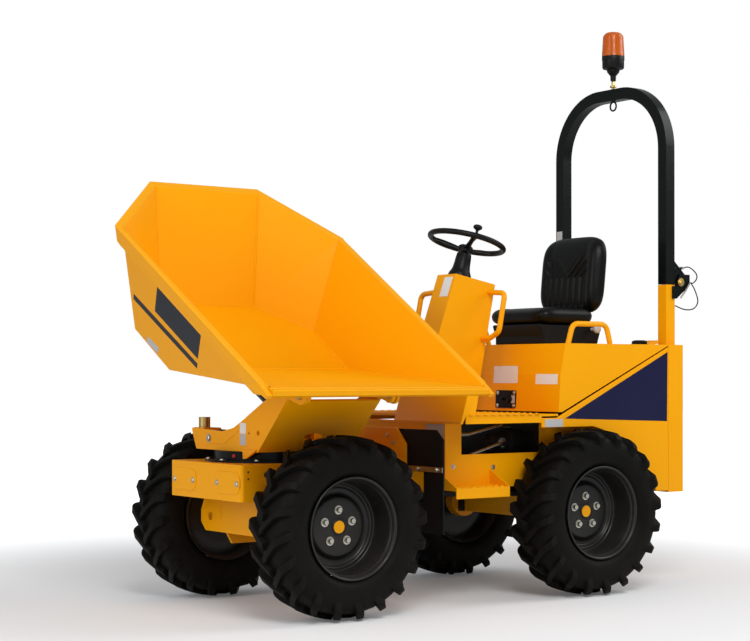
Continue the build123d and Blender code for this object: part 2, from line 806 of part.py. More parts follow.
with BuildPart() as tip_barrel:
    with BuildSketch(across(slew_x - ram_eye_half)):
        with Locations((ram_base_f, ram_base_z)):
            Circle(ram_eye_r - 4.0)
    extrude(amount=2 * ram_eye_half)
    with BuildSketch(ram_plane(20.0)):
        Circle(ram_eye_half - 2.0)
    extrude(amount=40.0)
    with BuildSketch(ram_plane(50.0)):
        Circle(barrel_r)
    extrude(amount=barrel_long - 50.0)
    with BuildSketch(ram_plane(66.0)):
        Circle(rod_r + fit)
    extrude(amount=barrel_long, mode=Mode.SUBTRACT)
    with BuildSketch(across(slew_x - ram_eye_half - 1.0)):
        with Locations((ram_base_f, ram_base_z)):
            Circle(ram_pin_r + fit)
    extrude(amount=2 * ram_eye_half + 2.0, mode=Mode.SUBTRACT)
save(tip_barrel.part, "tip_barrel")

with BuildPart() as tip_rod:
    with BuildSketch(ram_plane(70.0)):
        Circle(rod_r)
    extrude(amount=ram_long - 70.0)
    with BuildSketch(across(slew_x - ram_eye_half)):
        with Locations((ram_head_f, ram_head_z)):
            Circle(ram_eye_r - 4.0)
    extrude(amount=2 * ram_eye_half)
save(tip_rod.part, "tip_rod")

# =========================================================== rear frame
engine_front_x, engine_back_x = -590.0, -1120.0
engine_low_z = chassis_low_z - 10.0
engine_high = 500.0
engine_half = 230.0
mount_half = (chassis_half - chassis_wall - engine_half) / 2
with BuildPart() as rear_chassis:
    # two long side plates, high over the axle and low below the footplate
    with BuildSketch(side(chassis_half)):
        with BuildLine():
            Polyline(
                (chassis_front_x, chassis_low_z),
                (chassis_front_x, floor_z - floor_lip),
                (chassis_window_front_x, floor_z - floor_lip),
                (chassis_window_front_x, chassis_high_z),
                (chassis_window_back_x, chassis_high_z),
                (chassis_window_back_x, floor_z - floor_lip),
                (weight_front_x, floor_z - floor_lip),
                (weight_front_x, chassis_low_z + 20.0),
                (rear_axle_x - 80.0, chassis_low_z + 20.0),
                (rear_axle_x - 80.0, hub_z - axle_box / 2),
                (rear_axle_x + 80.0, hub_z - axle_box / 2),
                (rear_axle_x + 80.0, chassis_low_z),
                close=True,
            )
        make_face()
        with Locations((rear_axle_x, hub_z)):
            Rectangle(axle_box, axle_box, mode=Mode.SUBTRACT)
    extrude(amount=chassis_wall)
    mirror(about=side(0))
    # cross plates
    for cross_x, low, high in (
        (chassis_front_x - chassis_wall, chassis_low_z, floor_z - floor_lip),
        (-560.0, tongue_low - fit - yoke_wall, floor_z - floor_lip),
        (weight_front_x, chassis_low_z + 20.0, floor_z - floor_lip),
    ):
        with BuildSketch(across(cross_x)):
            with Locations((0, (low + high) / 2)):
                Rectangle(2 * chassis_half, high - low)
            if cross_x > 0:
                with Locations((0, (tongue_low + tongue_high) / 2)):
                    Rectangle(2 * swing_half, tongue_high - tongue_low + 2.0, mode=Mode.SUBTRACT)
        extrude(amount=chassis_wall)
    # pivot yoke: a plate above and below the front frame's tongue
    for low in (tongue_low - fit - yoke_wall, tongue_high + fit):
        with BuildSketch(level(low)):
            with BuildLine():
                Polyline(
                    (pivot_x, yoke_half),
                    (pivot_x, -yoke_half),
                    (-548.0, -chassis_half + 1.0),
                    (-548.0, chassis_half - 1.0),
                    close=True,
                )
            make_face()
            with Locations((pivot_x, 0)):
                Circle(yoke_half)
            with Locations((pivot_x, 0)):
                Circle(pivot_pin_r, mode=Mode.SUBTRACT)
        extrude(amount=yoke_wall)
    # brackets on both sides of the engine
    for cross_x in (engine_front_x - 80.0, engine_back_x + 40.0):
        with BuildSketch(across(cross_x)):
            for turn in (1, -1):
                with Locations((turn * (engine_half + mount_half), engine_low_z + 110.0)):
                    Rectangle(2 * mount_half, 60.0)
        extrude(amount=40.0)
    # fork and pin for the steering cylinder
    with BuildSketch(level(tongue_low - fit)):
        with Locations((steer_base_x - 50.0, -steer_y)):
            Rectangle(30.0, 60.0)
    extrude(amount=tongue_high - tongue_low + 2 * fit)
    for low in (steer_z - steer_eye_half - 14.0, steer_z + steer_eye_half + 2.0):
        with BuildSketch(level(low)):
            with Locations((steer_base_x - 20.0, -steer_y)):
                Rectangle(90.0, 60.0)
        extrude(amount=12.0)
    with BuildSketch(level(steer_z - steer_eye_half - 14.0)):
        with Locations((steer_base_x, -steer_y)):
            Circle(steer_pin_r)
    extrude(amount=2 * steer_eye_half + 28.0)
save(rear_chassis.part, "rear_chassis")

with BuildPart() as pivot_pin:
    with BuildSketch(level(tongue_low - fit - yoke_wall - 14.0)):
        with Locations((pivot_x, 0)):
            Circle(pivot_pin_r)
    extrude(amount=tongue_high - tongue_low + 2 * yoke_wall + 2 * fit + 28.0)
save(pivot_pin.part, "pivot_pin")

with BuildPart() as engine_block:
    with BuildSketch(level(engine_low_z)):
        with Locations(((engine_front_x + engine_back_x) / 2, 0)):
            Rectangle(engine_front_x - engine_back_x, 2 * engine_half)
    extrude(amount=engine_high)
save(engine_block.part, "engine_block")

bonnet_back_x = weight_front_x + 4.0
hinge_x, hinge_z = -1240.0, deck_z + 14.0
hinge_r = 9.0
hinge_pin_r = 4.0
hinge_spots = (-330.0, 330.0)
with BuildPart() as rear_weight:
    with BuildSketch(level(weight_low_z)):
        with BuildLine():
            Polyline(
                (weight_front_x, body_half),
                (weight_back_x + weight_bevel / 2, body_half),
                (weight_back_x, body_half - weight_bevel),
                (weight_back_x, -body_half + weight_bevel),
                (weight_back_x + weight_bevel / 2, -body_half),
                (weight_front_x, -body_half),
                close=True,
            )
        make_face()
    extrude(amount=deck_z - weight_low_z)
    # hinge knuckles for the bonnet
    for mid in hinge_spots:
        with BuildSketch(side(mid + 30.0)):
            with Locations((hinge_x, hinge_z)):
                Circle(hinge_r)
            with Locations((hinge_x, (deck_z + hinge_z) / 2)):
                Rectangle(2 * hinge_r, hinge_z - deck_z)
            with Locations((hinge_x, hinge_z)):
                Circle(hinge_pin_r + fit, mode=Mode.SUBTRACT)
        extrude(amount=60.0)
    # towing jaw
    for low in (hitch_z - hitch_gap / 2 - hitch_wall, hitch_z + hitch_gap / 2):
        with BuildSketch(level(low)):
            with Locations(((hitch_x + weight_back_x) / 2, 0)):
                Rectangle(weight_back_x - hitch_x, 80.0)
            with Locations((hitch_x, 0)):
                Circle(hitch_r)
            with Locations((hitch_x, 0)):
                Circle(hitch_bore_r, mode=Mode.SUBTRACT)
        extrude(amount=hitch_wall)
    with BuildSketch(across(weight_back_x - 12.0)):
        with Locations((0, hitch_z)):
            Rectangle(150.0, 150.0)
    extrude(amount=12.0)
save(rear_weight.part, "rear_weight")

# ---- wings with the wheel arches
arch_mid_r = tyre_r + 29.0
arch_mid_turn = radians(137.6)
arch_mid = (rear_axle_x + arch_mid_r * cos(arch_mid_turn), hub_z + arch_mid_r * sin(arch_mid_turn))
with BuildPart() as wings:
    with BuildSketch(side(body_half)):
        with BuildLine():
            arch_start = (rear_axle_x - 60.0, arch_flat_z)
            arch_end = (rear_axle_x - tyre_r - 85.0, wing_low_z)
            Polyline(
                arch_end,
                (weight_front_x, wing_low_z),
                (weight_front_x, deck_z - 2 * seam),
                (wing_front_x, wing_tip_z),
                (wing_nose_x, wing_tip_z),
                (wing_nose_x, arch_flat_z),
                arch_start,
            )
            ThreePointArc(arch_start, arch_mid, arch_end)
        make_face()
    extrude(amount=panel_wall)
    mirror(about=side(0))
save(wings.part, "wings")

# ---- footwell floor with turned-down edges
with BuildPart() as footplate:
    with BuildSketch(level(floor_z - floor_wall)):
        with Locations(((floor_front_x + bonnet_front_low_x + 4.0) / 2, 0)):
            Rectangle(floor_front_x - bonnet_front_low_x - 4.0, 2 * body_half)
    extrude(amount=floor_wall)
    for turn in (1, -1):
        with BuildSketch(level(floor_z - floor_lip)):
            with Locations(((floor_front_x + wing_nose_x + 2.0) / 2, turn * (body_half - 4.0))):
                Rectangle(floor_front_x - wing_nose_x - 2.0, 8.0)
        extrude(amount=floor_lip)
    # bulkhead ahead of the driver's feet, with a flange at its left edge
    with BuildSketch(side(body_half)):
        with BuildLine():
            Polyline(
                (floor_front_x + 30.0, floor_z - floor_lip),
                (floor_front_x + 20.0, floor_z - floor_lip),
                (floor_front_x + 0.3, floor_z),
                (floor_front_x - 26.0, floor_z + 120.0),
                (floor_front_x - 16.0, floor_z + 120.0),
                close=True,
            )
        make_face()
    extrude(amount=body_half + 20.0)
    with BuildSketch(side(body_half)):
        with BuildLine():
            Polyline(
                (floor_front_x + 0.3, floor_z),
                (floor_front_x - 26.0, floor_z + 120.0),
                (floor_front_x - 76.0, floor_z + 120.0),
                (floor_front_x - 50.0, floor_z),
                close=True,
            )
        make_face()
    extrude(amount=8.0)
    with BuildSketch(level(floor_z - floor_lip)):
        with Locations((floor_front_x + 24.0, 0)):
            Rectangle(12.0, 2 * body_half)
    extrude(amount=10.0)
save(footplate.part, "footplate")

# ---- boarding steps
with BuildPart() as steps:
    with BuildSketch(level(step_z)):
        with Locations(((step_front_x + step_back_x) / 2, (chassis_half + step_out) / 2)):
            Rectangle(step_front_x - step_back_x, step_out - chassis_half)
    extrude(amount=step_wall)
    with BuildSketch(level(step_z - step_lip)):
        with Locations(((step_front_x + step_back_x) / 2, step_out - step_wall / 2)):
            Rectangle(step_front_x - step_back_x, step_wall)
    extrude(amount=step_lip + 12.0)
    for end_x in (step_back_x, step_front_x - step_wall):
        with BuildSketch(across(end_x)):
            with BuildLine():
                Polyline(
                    (chassis_half, step_z),
                    (step_out, step_z),
                    (step_out, step_z + 12.0),
                    (chassis_half, step_z + step_high),
                    close=True,
                )
            make_face()
        extrude(amount=step_wall)
    mirror(about=side(0))
save(steps.part, "steps")

# =========================================================== bonnet
bonnet_wall = 8.0


def bonnet_outline(inset):
    """Side outline of the bonnet: upright front, flat top, and the slanting seam at its lower back."""
    return [
        (bonnet_front_low_x - inset, bonnet_low_z - 40.0 * (inset > 0)),
        (bonnet_front_mid_x - inset, bonnet_mid_z),
        (bonnet_front_high_x - inset, deck_z - inset),
        (bonnet_back_x + inset, deck_z - inset),
        (bonnet_back_x + inset, deck_z - seam - 40.0 * (inset > 0)),
        (bonnet_front_low_x - 20.0, bonnet_low_z - 40.0 * (inset > 0)),
    ]


with BuildPart() as bonnet:
    with BuildSketch(side(body_half)):
        with BuildLine():
            Polyline(*bonnet_outline(0.0), close=True)
        make_face()
    extrude(amount=2 * body_half)
    with BuildSketch(side(body_half - bonnet_wall)):
        with BuildLine():
            Polyline(*bonnet_outline(bonnet_wall), close=True)
        make_face()
    extrude(amount=2 * (body_half - bonnet_wall), mode=Mode.SUBTRACT)
    # hinge leaves and their pins
    for mid in hinge_spots:
        with BuildSketch(side(mid + 64.0)):
            with Locations((hinge_x, hinge_z)):
                Circle(hinge_pin_r)
        extrude(amount=128.0)
        for start in (mid + 64.0, mid - 31.0):
            with BuildSketch(side(start)):
                with Locations((hinge_x, hinge_z)):
                    Circle(hinge_r)
                with BuildLine():
                    Polyline(
                        (hinge_x, hinge_z - 5.0),
                        (hinge_x, hinge_z + 5.0),
                        (hinge_x + 60.0, deck_z + 6.0),
                        (hinge_x + 60.0, deck_z - 1.0),
                        (bonnet_back_x, deck_z - 1.0),
                        close=True,
                    )
                make_face()
            extrude(amount=33.0)
save(bonnet.part, "bonnet")

# =========================================================== seat
seat_half = 222.0
seat_front_x, seat_back_x = -662.0, -1010.0
seat_low_z = deck_z + 99.0
seat_high_z = seat_low_z + 94.0
back_top_z = seat_high_z + 344.0
with BuildPart() as seat_base:
    with BuildSketch(side(185.0)):
        with BuildLine():
            Polyline(
                (seat_front_x - 30.0, deck_z),
                (seat_front_x - 30.0, deck_z + 40.0),
                (seat_front_x - 8.0, seat_low_z),
                (seat_back_x - 60.0, seat_low_z),
                (seat_back_x - 30.0, deck_z),
                close=True,
            )
        make_face()
    extrude(amount=370.0)
save(seat_base.part, "seat_base")
with BuildPart() as seat_cushion:
    with BuildSketch(level(seat_low_z + fit)):
        with Locations(((seat_front_x + seat_back_x) / 2, 0)):
            RectangleRounded(seat_front_x - seat_back_x, 2 * seat_half, 60.0)
    extrude(amount=seat_high_z - seat_low_z)
    fillet(seat_cushion.faces().sort_by(Axis.Z)[-1].edges(), radius=22.0)
save(seat_cushion.part, "seat_cushion")
with BuildPart() as seat_back:
    with BuildSketch(side(seat_half)):
        with BuildLine():
            Polyline(
                (seat_back_x + 28.0, seat_high_z + 2 * fit),
                (seat_back_x - 24.0, back_top_z - 20.0),
                (seat_back_x - 46.0, back_top_z),
                (seat_back_x - 90.0, back_top_z - 6.0),
                (seat_back_x - 108.0, back_top_z - 60.0),
                (seat_back_x - 98.0, seat_high_z - 40.0),
                (seat_back_x - fit, seat_high_z - 40.0),
                (seat_back_x - fit, seat_high_z + 2 * fit),
                close=True,
            )
        make_face()
    extrude(amount=2 * seat_half)
save(seat_back.part, "seat_back")

# =========================================================== fittings on the bonnet
rail_r = 13.0
rail_y = body_half - 30.0
rail_high_z = deck_z + 92.0
with BuildPart() as grab_rails:
    with BuildLine(side(rail_y)) as rail_path:
        FilletPolyline(
            (-612.0, deck_z),
            (-640.0, rail_high_z),
            (-846.0, rail_high_z),
            (-872.0, deck_z),
            radius=42.0,
        )
    with BuildSketch(level(deck_z)):
        with Locations((-612.0, rail_y)):
            Circle(rail_r)
    sweep(path=rail_path.line)
    with BuildSketch(level(deck_z - 60.0)):
        with Locations((-742.0, rail_y)):
            Rectangle(360.0, 60.0)
    extrude(amount=60.0, mode=Mode.SUBTRACT)
    mirror(about=side(0))
save(grab_rails.part, "grab_rails")
with BuildPart() as filler_cap:
    with BuildSketch(level(deck_z)):
        with Locations((weight_front_x + 92.0, hoop_half)):
            Circle(38.0)
    extrude(amount=22.0)
save(filler_cap.part, "filler_cap")
plate_z = floor_z + 63.0
plate_x = bonnet_front_low_x + (bonnet_front_mid_x - bonnet_front_low_x) * (
    (plate_z - bonnet_low_z) / (bonnet_mid_z - bonnet_low_z)
)
face_plane = Plane(
    origin=(mid_x + plate_x, mid_y + 101.0, plate_z),
    x_dir=(0, 1, 0),
    z_dir=(bonnet_mid_z - bonnet_low_z, 0, bonnet_front_low_x - bonnet_front_mid_x),
)
with BuildPart() as control_plate:
    with BuildSketch(face_plane):
        RectangleRounded(152.0, 84.0, 10.0)
    extrude(amount=3.0)
    with BuildSketch(face_plane):
        with Locations((-6.0, 0)):
            Circle(7.0)
        with Locations((36.0, 0)):
            Circle(14.0)
    extrude(amount=24.0)
save(control_plate.part, "control_plate")

# =========================================================== console and steering
console_half = 72.0
console_wall = 6.0
console_front_low, console_front_high = (-26.0, floor_z), (-258.0, floor_z + 650.0)
console_back_low, console_back_high = (-368.0, floor_z), (-490.0, floor_z + 606.0)
wheel_tilt = radians(15.0)
wheel_mid_x, wheel_mid_z = -376.0, floor_z + 805.0
wheel_rim_r, wheel_rim_tube = 176.0, 13.0
column_r = 24.0
shaft_r = 10.0
column_way = Vector(-sin(wheel_tilt), 0, cos(wheel_tilt))


def column_plane(along):
    """Plane square to the steering column, at a distance above the wheel's middle."""
    middle = Vector(mid_x + wheel_mid_x, mid_y, wheel_mid_z)
    return Plane(origin=middle + column_way * along, x_dir=(cos(wheel_tilt), 0, sin(wheel_tilt)), z_dir=column_way)


with BuildPart() as console:
    with BuildSketch(side(console_half)):
        with BuildLine():
            Polyline(console_front_low, console_front_high, console_back_high, console_back_low, close=True)
        make_face()
    extrude(amount=2 * console_half)
    with BuildSketch(side(console_half - console_wall)):
        with BuildLine():
            Polyline(console_front_low, console_front_high, console_back_high, console_back_low, close=True)
        make_face()
        offset(amount=-console_wall, kind=Kind.INTERSECTION)
    extrude(amount=2 * (console_half - console_wall), mode=Mode.SUBTRACT)
    # collar and column on the sloping top
    with BuildSketch(column_plane(-172.0)):
        Circle(column_r + 14.0)
    extrude(amount=52.0)
    with BuildSketch(column_plane(-172.0)):
        Circle(column_r)
    extrude(amount=112.0)
    with BuildSketch(column_plane(-100.0)):
        Circle(shaft_r + fit)
    extrude(amount=80.0, mode=Mode.SUBTRACT)
save(console.part, "console")

handle_r = 12.5
handle_half = 112.0
handle_reach = 122.0
handle_z = floor_z + 459.0
handle_back_x, handle_front_x = -432.0, -232.0
handle_lean = Vector(-0.2, 0, 1.0).normalized()
with BuildPart() as handles:
    for handle_x, turn in ((handle_back_x, 1), (handle_front_x, -1)):
        handle_plane = Plane(
            origin=(mid_x + handle_x, mid_y + turn * (console_half), handle_z),
            x_dir=(0, turn, 0),
            z_dir=Vector(0, turn, 0).cross(handle_lean),
        )
        with BuildLine(handle_plane) as handle_path:
            FilletPolyline(
                (0, handle_half),
                (handle_reach, handle_half - 8.0),
                (handle_reach, -handle_half + 30.0),
                (handle_reach * 0.5, -handle_half),
                (0, -handle_half),
                radius=30.0,
            )
        with BuildSketch(Plane(origin=handle_path.line @ 0, z_dir=handle_path.line % 0)):
            Circle(handle_r)
        sweep(path=handle_path.line)
    # ends stop at the console's sides
    with BuildSketch(side(console_half)):
        with Locations(((handle_back_x + handle_front_x) / 2, handle_z)):
            Rectangle(3 * (handle_front_x - handle_back_x), 4 * handle_half)
    extrude(amount=2 * console_half, mode=Mode.SUBTRACT)
save(handles.part, "handles")

with BuildPart() as steering_wheel:
    with BuildSketch(Plane(origin=column_plane(0).origin, x_dir=(0, 1, 0), z_dir=Vector(0, 1, 0).cross(column_way))):
        with Locations((wheel_rim_r, 0)):
            Circle(wheel_rim_tube)
    revolve(axis=Axis(column_plane(0).origin, column_way))
    with BuildSketch(column_plane(-90.0)):
        Circle(shaft_r)
    extrude(amount=60.0)
    with BuildSketch(column_plane(-50.0)):
        Circle(34.0)
    extrude(amount=40.0)
    with BuildSketch(column_plane(-22.0)):
        for turn in (90.0, 210.0, 330.0):
            with Locations(Location((0, 0, 0), (0, 0, turn))):
                with Locations((wheel_rim_r / 2, 0)):
                    Rectangle(wheel_rim_r, 22.0)
    extrude(amount=12.0)
save(steering_wheel.part, "steering_wheel")

# =========================================================== roll-over hoop and beacon
post_top_z = hoop_joint_z - 2.0
tube_half = hoop_tube / 2
with BuildPart() as hoop_posts:
    for turn in (1, -1):
        with BuildSketch(level(deck_z)):
            with Locations((hoop_x, turn * hoop_half)):
                Rectangle(hoop_tube, hoop_tube)
                Rectangle(hoop_tube - 10.0, hoop_tube - 10.0, mode=Mode.SUBTRACT)
        extrude(amount=post_top_z - deck_z)
        for start in (turn * hoop_half + tube_half + 8.0, turn * hoop_half - tube_half):
            with BuildSketch(side(start)):
                with BuildLine():
                    Polyline(
                        (hoop_x - tube_half + 20.0, hoop_joint_z - 70.0),
                        (hoop_x - tube_half + 20.0, hoop_joint_z - 10.0),
                        (hoop_x - tube_half - 6.0, hoop_joint_z - 6.0),
                        (hoop_pivot_x + 36.0, hoop_pivot_z + 26.0),
                        (hoop_pivot_x - 26.0, hoop_pivot_z + 26.0),
                        (hoop_pivot_x - 26.0, hoop_pivot_z - 26.0),
                        (hoop_x - tube_half - 6.0, hoop_joint_z - 70.0),
                        close=True,
                    )
                make_face()
                with Locations((hoop_pivot_x, hoop_pivot_z)):
                    Circle(9.0, mode=Mode.SUBTRACT)
            extrude(amount=8.0)
        with BuildSketch(side(turn * hoop_half + tube_half + 12.0)):
            with Locations((hoop_pivot_x, hoop_pivot_z)):
                Circle(9.0)
        extrude(amount=hoop_tube + 24.0)
save(hoop_posts.part, "hoop_posts")
with BuildPart() as rops_hoop:
    with BuildLine(across(hoop_x)) as hoop_path:
        FilletPolyline(
            (-hoop_half, hoop_joint_z),
            (-hoop_half, hoop_top_z - tube_half),
            (hoop_half, hoop_top_z - tube_half),
            (hoop_half, hoop_joint_z),
            radius=hoop_bend_r,
        )
    with BuildSketch(level(hoop_joint_z)):
        with Locations((hoop_x, -hoop_half)):
            Rectangle(hoop_tube, hoop_tube)
    sweep(path=hoop_path.line)
    for turn in (1, -1):
        with BuildSketch(side(turn * hoop_half + tube_half - 6.0)):
            with BuildLine():
                Polyline(
                    (hoop_x - tube_half + 1.0, hoop_joint_z + 4.0),
                    (hoop_x - tube_half + 1.0, hoop_joint_z + 120.0),
                    (hoop_pivot_x - 10.0, hoop_pivot_z + 24.0),
                    (hoop_pivot_x - 22.0, hoop_pivot_z),
                    (hoop_pivot_x, hoop_pivot_z - 22.0),
                    close=True,
                )
            make_face()
            with Locations((hoop_pivot_x, hoop_pivot_z)):
                Circle(9.0 + fit, mode=Mode.SUBTRACT)
        extrude(amount=hoop_tube - 12.0)
save(rops_hoop.part, "rops_hoop")
beacon_low_z = hoop_top_z + 118.0
with BuildPart() as beacon_base:
    with BuildSketch(level(hoop_top_z)):
        with Locations((hoop_x, 0)):
            Circle(14.0)
    extrude(amount=beacon_low_z - hoop_top_z + 10.0)
    with BuildSketch(level(beacon_low_z)):
        with Locations((hoop_x, 0)):
            Circle(56.0)
    extrude(amount=52.0)
save(beacon_base.part, "beacon_base")
with BuildPart() as beacon_dome:
    with BuildSketch(level(beacon_low_z + 52.0 + fit)):
        with Locations((hoop_x, 0)):
            Circle(58.0)
    extrude(amount=124.0, taper=4.0)
    fillet(beacon_dome.faces().sort_by(Axis.Z)[-1].edges(), radius=14.0)
save(beacon_dome.part, "beacon_dome")

# =========================================================== steering cylinder
steer_long = steer_head_x - steer_base_x
with BuildPart() as steer_barrel:
    with BuildSketch(level(steer_z - steer_eye_half)):
        with Locations((steer_base_x, -steer_y)):
            Circle(steer_eye_r)
    extrude(amount=2 * steer_eye_half)
    with BuildSketch(across(steer_base_x + 14.0)):
        with Locations((-steer_y, steer_z)):
            Circle(steer_eye_half - 2.0)
    extrude(amount=40.0)
    with BuildSketch(across(steer_base_x + 50.0)):
        with Locations((-steer_y, steer_z)):
            Circle(steer_barrel_r)
    extrude(amount=steer_barrel_long - 50.0)
    with BuildSketch(across(steer_base_x + 60.0)):
        with Locations((-steer_y, steer_z)):
            Circle(steer_rod_r + fit)
    extrude(amount=steer_barrel_long, mode=Mode.SUBTRACT)
    with BuildSketch(level(steer_z - steer_eye_half - 1.0)):
        with Locations((steer_base_x, -steer_y)):
            Circle(steer_pin_r + fit)
    extrude(amount=2 * steer_eye_half + 2.0, mode=Mode.SUBTRACT)
save(steer_barrel.part, "steer_barrel")
with BuildPart() as steer_rod:
    with BuildSketch(across(steer_base_x + steer_rod_start)):
        with Locations((-steer_y, steer_z)):
            Circle(steer_rod_r)
    extrude(amount=steer_long - steer_rod_start)
    with BuildSketch(level(steer_z - steer_eye_half)):
        with Locations((steer_head_x, -steer_y)):
            Circle(steer_eye_r)
    extrude(amount=2 * steer_eye_half)
save(steer_rod.part, "steer_rod")
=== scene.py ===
# %% [markdown]
# # A site dumper, finished in Blender
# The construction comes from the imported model, which is loaded as a fixed frame. This lesson dresses it:
# rounded edges on the pressed steel, cast tyres, spun wheels, padded seat, lamp glass, decals and bolts.
# Units are metres. X points to the machine's front, Y to its left and Z up.

# %% Load the frame
import bpy
import bmesh
import json
import math
import numpy as np
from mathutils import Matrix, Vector


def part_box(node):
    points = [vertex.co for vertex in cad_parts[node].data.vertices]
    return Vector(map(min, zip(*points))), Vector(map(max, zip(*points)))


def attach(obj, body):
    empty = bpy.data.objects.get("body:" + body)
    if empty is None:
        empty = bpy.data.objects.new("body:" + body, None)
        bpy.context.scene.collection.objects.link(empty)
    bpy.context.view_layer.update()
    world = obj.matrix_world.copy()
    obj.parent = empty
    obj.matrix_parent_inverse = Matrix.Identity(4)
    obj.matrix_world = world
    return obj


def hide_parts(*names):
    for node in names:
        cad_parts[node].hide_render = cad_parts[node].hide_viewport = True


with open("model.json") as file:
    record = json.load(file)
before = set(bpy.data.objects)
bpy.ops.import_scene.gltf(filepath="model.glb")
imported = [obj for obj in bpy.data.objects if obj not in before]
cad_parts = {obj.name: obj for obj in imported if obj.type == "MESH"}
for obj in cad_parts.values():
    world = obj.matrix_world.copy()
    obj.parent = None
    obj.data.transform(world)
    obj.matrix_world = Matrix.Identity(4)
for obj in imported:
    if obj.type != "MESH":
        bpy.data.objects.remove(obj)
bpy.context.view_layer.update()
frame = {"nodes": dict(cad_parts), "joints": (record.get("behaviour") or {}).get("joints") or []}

# %% [markdown]
# ## Places on the machine
# Everything is measured from the machine's centre line and from the middle of its wheelbase. The packed
# record states the wheel joints, so that middle is worked out from them and not typed in.

# %% Centre line, wheels and joints
joint_at = {j["name"]: np.array(j["pos_m"]) for j in frame["joints"] if "pos_m" in j}
middle = (joint_at["roll_front_left"] + joint_at["roll_rear_right"]) / 2
MID = np.array([middle[0], middle[1], 0.0])
WHEELS = {name[5:]: spot for name, spot in joint_at.items() if name.startswith("roll_")}
FORWARD, LEFT, UP = np.eye(3)
SIDES = (("left", 1), ("right", -1))
print("centre line", MID)


def at(x, y, z):
    """A place in the row frame, from millimetres ahead of, left of and above the machine's own middle."""
    return MID + np.array([x, y, z]) / 1000.0


def spots(rows):
    """The places of several rows of (x, y, z) in machine millimetres."""
    return MID + np.array(rows, float) / 1000.0


def round_about(centre, radius, first, second, turns):
    """Places on a circle: centre + radius (first cos t + second sin t)."""
    turns = np.atleast_1d(turns)[:, None]
    return centre + radius * (np.cos(turns) * first + np.sin(turns) * second)


# %% [markdown]
# ## Camera and studio
# The camera stands low and well back, like a tripod at chest height, so that the verticals stay upright
# and the framing comes from a lens shift. The backdrop is white only to the camera:
# the lamps stay at a plain level, so colours render as they are written.

# %% Camera
def placed(name, data):
    """A scene object that shows a mesh, a lamp or a camera."""
    obj = bpy.data.objects.new(name, data)
    bpy.context.collection.objects.link(obj)
    return obj


# metres from the machine's middle, radians, and millimetres of lens on a 36 mm sensor
CAMERA_AT = np.array([4.673, 6.6006, 1.0094])
HEADING = -2.2387
TILT = 0.010
LENS_MM = 84.288
SENSOR_MM = 36.0
SHIFT_X = -0.1573333
SHIFT_Y = 0.0486667
camera_data = bpy.data.cameras.new("camera")
camera = placed("camera", camera_data)
camera.location = MID + CAMERA_AT
camera.rotation_euler = (math.pi / 2 + TILT, 0.0, HEADING - math.pi / 2)
camera_data.sensor_width = SENSOR_MM
camera_data.lens = LENS_MM
camera_data.shift_x = SHIFT_X
camera_data.shift_y = SHIFT_Y
camera_data.clip_end = 60.0
bpy.context.scene.camera = camera
bpy.context.scene.view_settings.view_transform = "Standard"


# %% Lamps, backdrop and floor
def lamp(name, place, target, size, power):
    """A square area lamp at a place, turned to face a target."""
    data = bpy.data.lights.new(name, "AREA")
    data.shape = "SQUARE"
    data.size = size
    data.energy = power
    obj = placed(name, data)
    obj.location = place
    obj.rotation_euler = (Vector(target) - Vector(place)).to_track_quat("-Z", "Y").to_euler()


lamp("key_lamp", (3.2, 6.5, 6.5), (0.0, 0.0, 0.7), 3.5, 400.0)
lamp("fill_lamp", (7.0, 0.5, 3.2), (0.3, 0.0, 0.8), 4.0, 120.0)
lamp("back_lamp", (-5.0, 2.5, 4.5), (0.0, 0.0, 1.0), 3.5, 140.0)

world = bpy.data.worlds.new("studio")
bpy.context.scene.world = world
world.use_nodes = True


def fill(tree, node, *values, **settings):
    """Sets a node's inputs and properties by name, with _ for a space, then its inputs in order by values.
    An output given for an input is linked to it."""
    for key, value in settings.items():
        label = key.replace("_", " ")
        if label not in node.inputs.keys():
            setattr(node, key, value)
        elif isinstance(value, bpy.types.NodeSocket):
            tree.links.new(value, node.inputs[label])
        else:
            node.inputs[label].default_value = value
    for socket, value in zip(node.inputs, values):
        if isinstance(value, bpy.types.NodeSocket):
            tree.links.new(value, socket)
        else:
            socket.default_value = value


def add_node(tree, kind, *values, **settings):
    """A new node, filled at once."""
    node = tree.nodes.new(kind)
    fill(tree, node, *values, **settings)
    return node


def calc(tree, operation, *values):
    """The output of a Math node."""
    return add_node(tree, "ShaderNodeMath", *values, operation=operation).outputs[0]


def seen_mask(tree):
    """1 for rays from the camera and through glass, 0 for reflections and for the rays that light things."""
    path = add_node(tree, "ShaderNodeLightPath").outputs
    return calc(tree, "MAXIMUM", path["Is Camera Ray"], path["Is Transmission Ray"])


tree = world.node_tree
tree.nodes.clear()
lit = add_node(tree, "ShaderNodeBackground", Color=(0.93, 0.96, 1.0, 1.0), Strength=0.40)
seen = add_node(tree, "ShaderNodeBackground", Color=(1.0, 1.0, 1.0, 1.0), Strength=1.0)
blend_world = add_node(tree, "ShaderNodeMixShader", seen_mask(tree), lit.outputs[0], seen.outputs[0])
add_node(tree, "ShaderNodeOutputWorld", Surface=blend_world.outputs[0])

floor_mesh = bpy.data.meshes.new("studio_floor")
floor_mesh.from_pydata([(-30, -30, 0), (30, -30, 0), (30, 30, 0), (-30, 30, 0)], [], [(0, 1, 2, 3)])
studio_floor = placed("studio_floor", floor_mesh)
floor_finish = bpy.data.materials.new("studio_floor")
floor_finish.use_nodes = True
tree = floor_finish.node_tree
tree.nodes.clear()
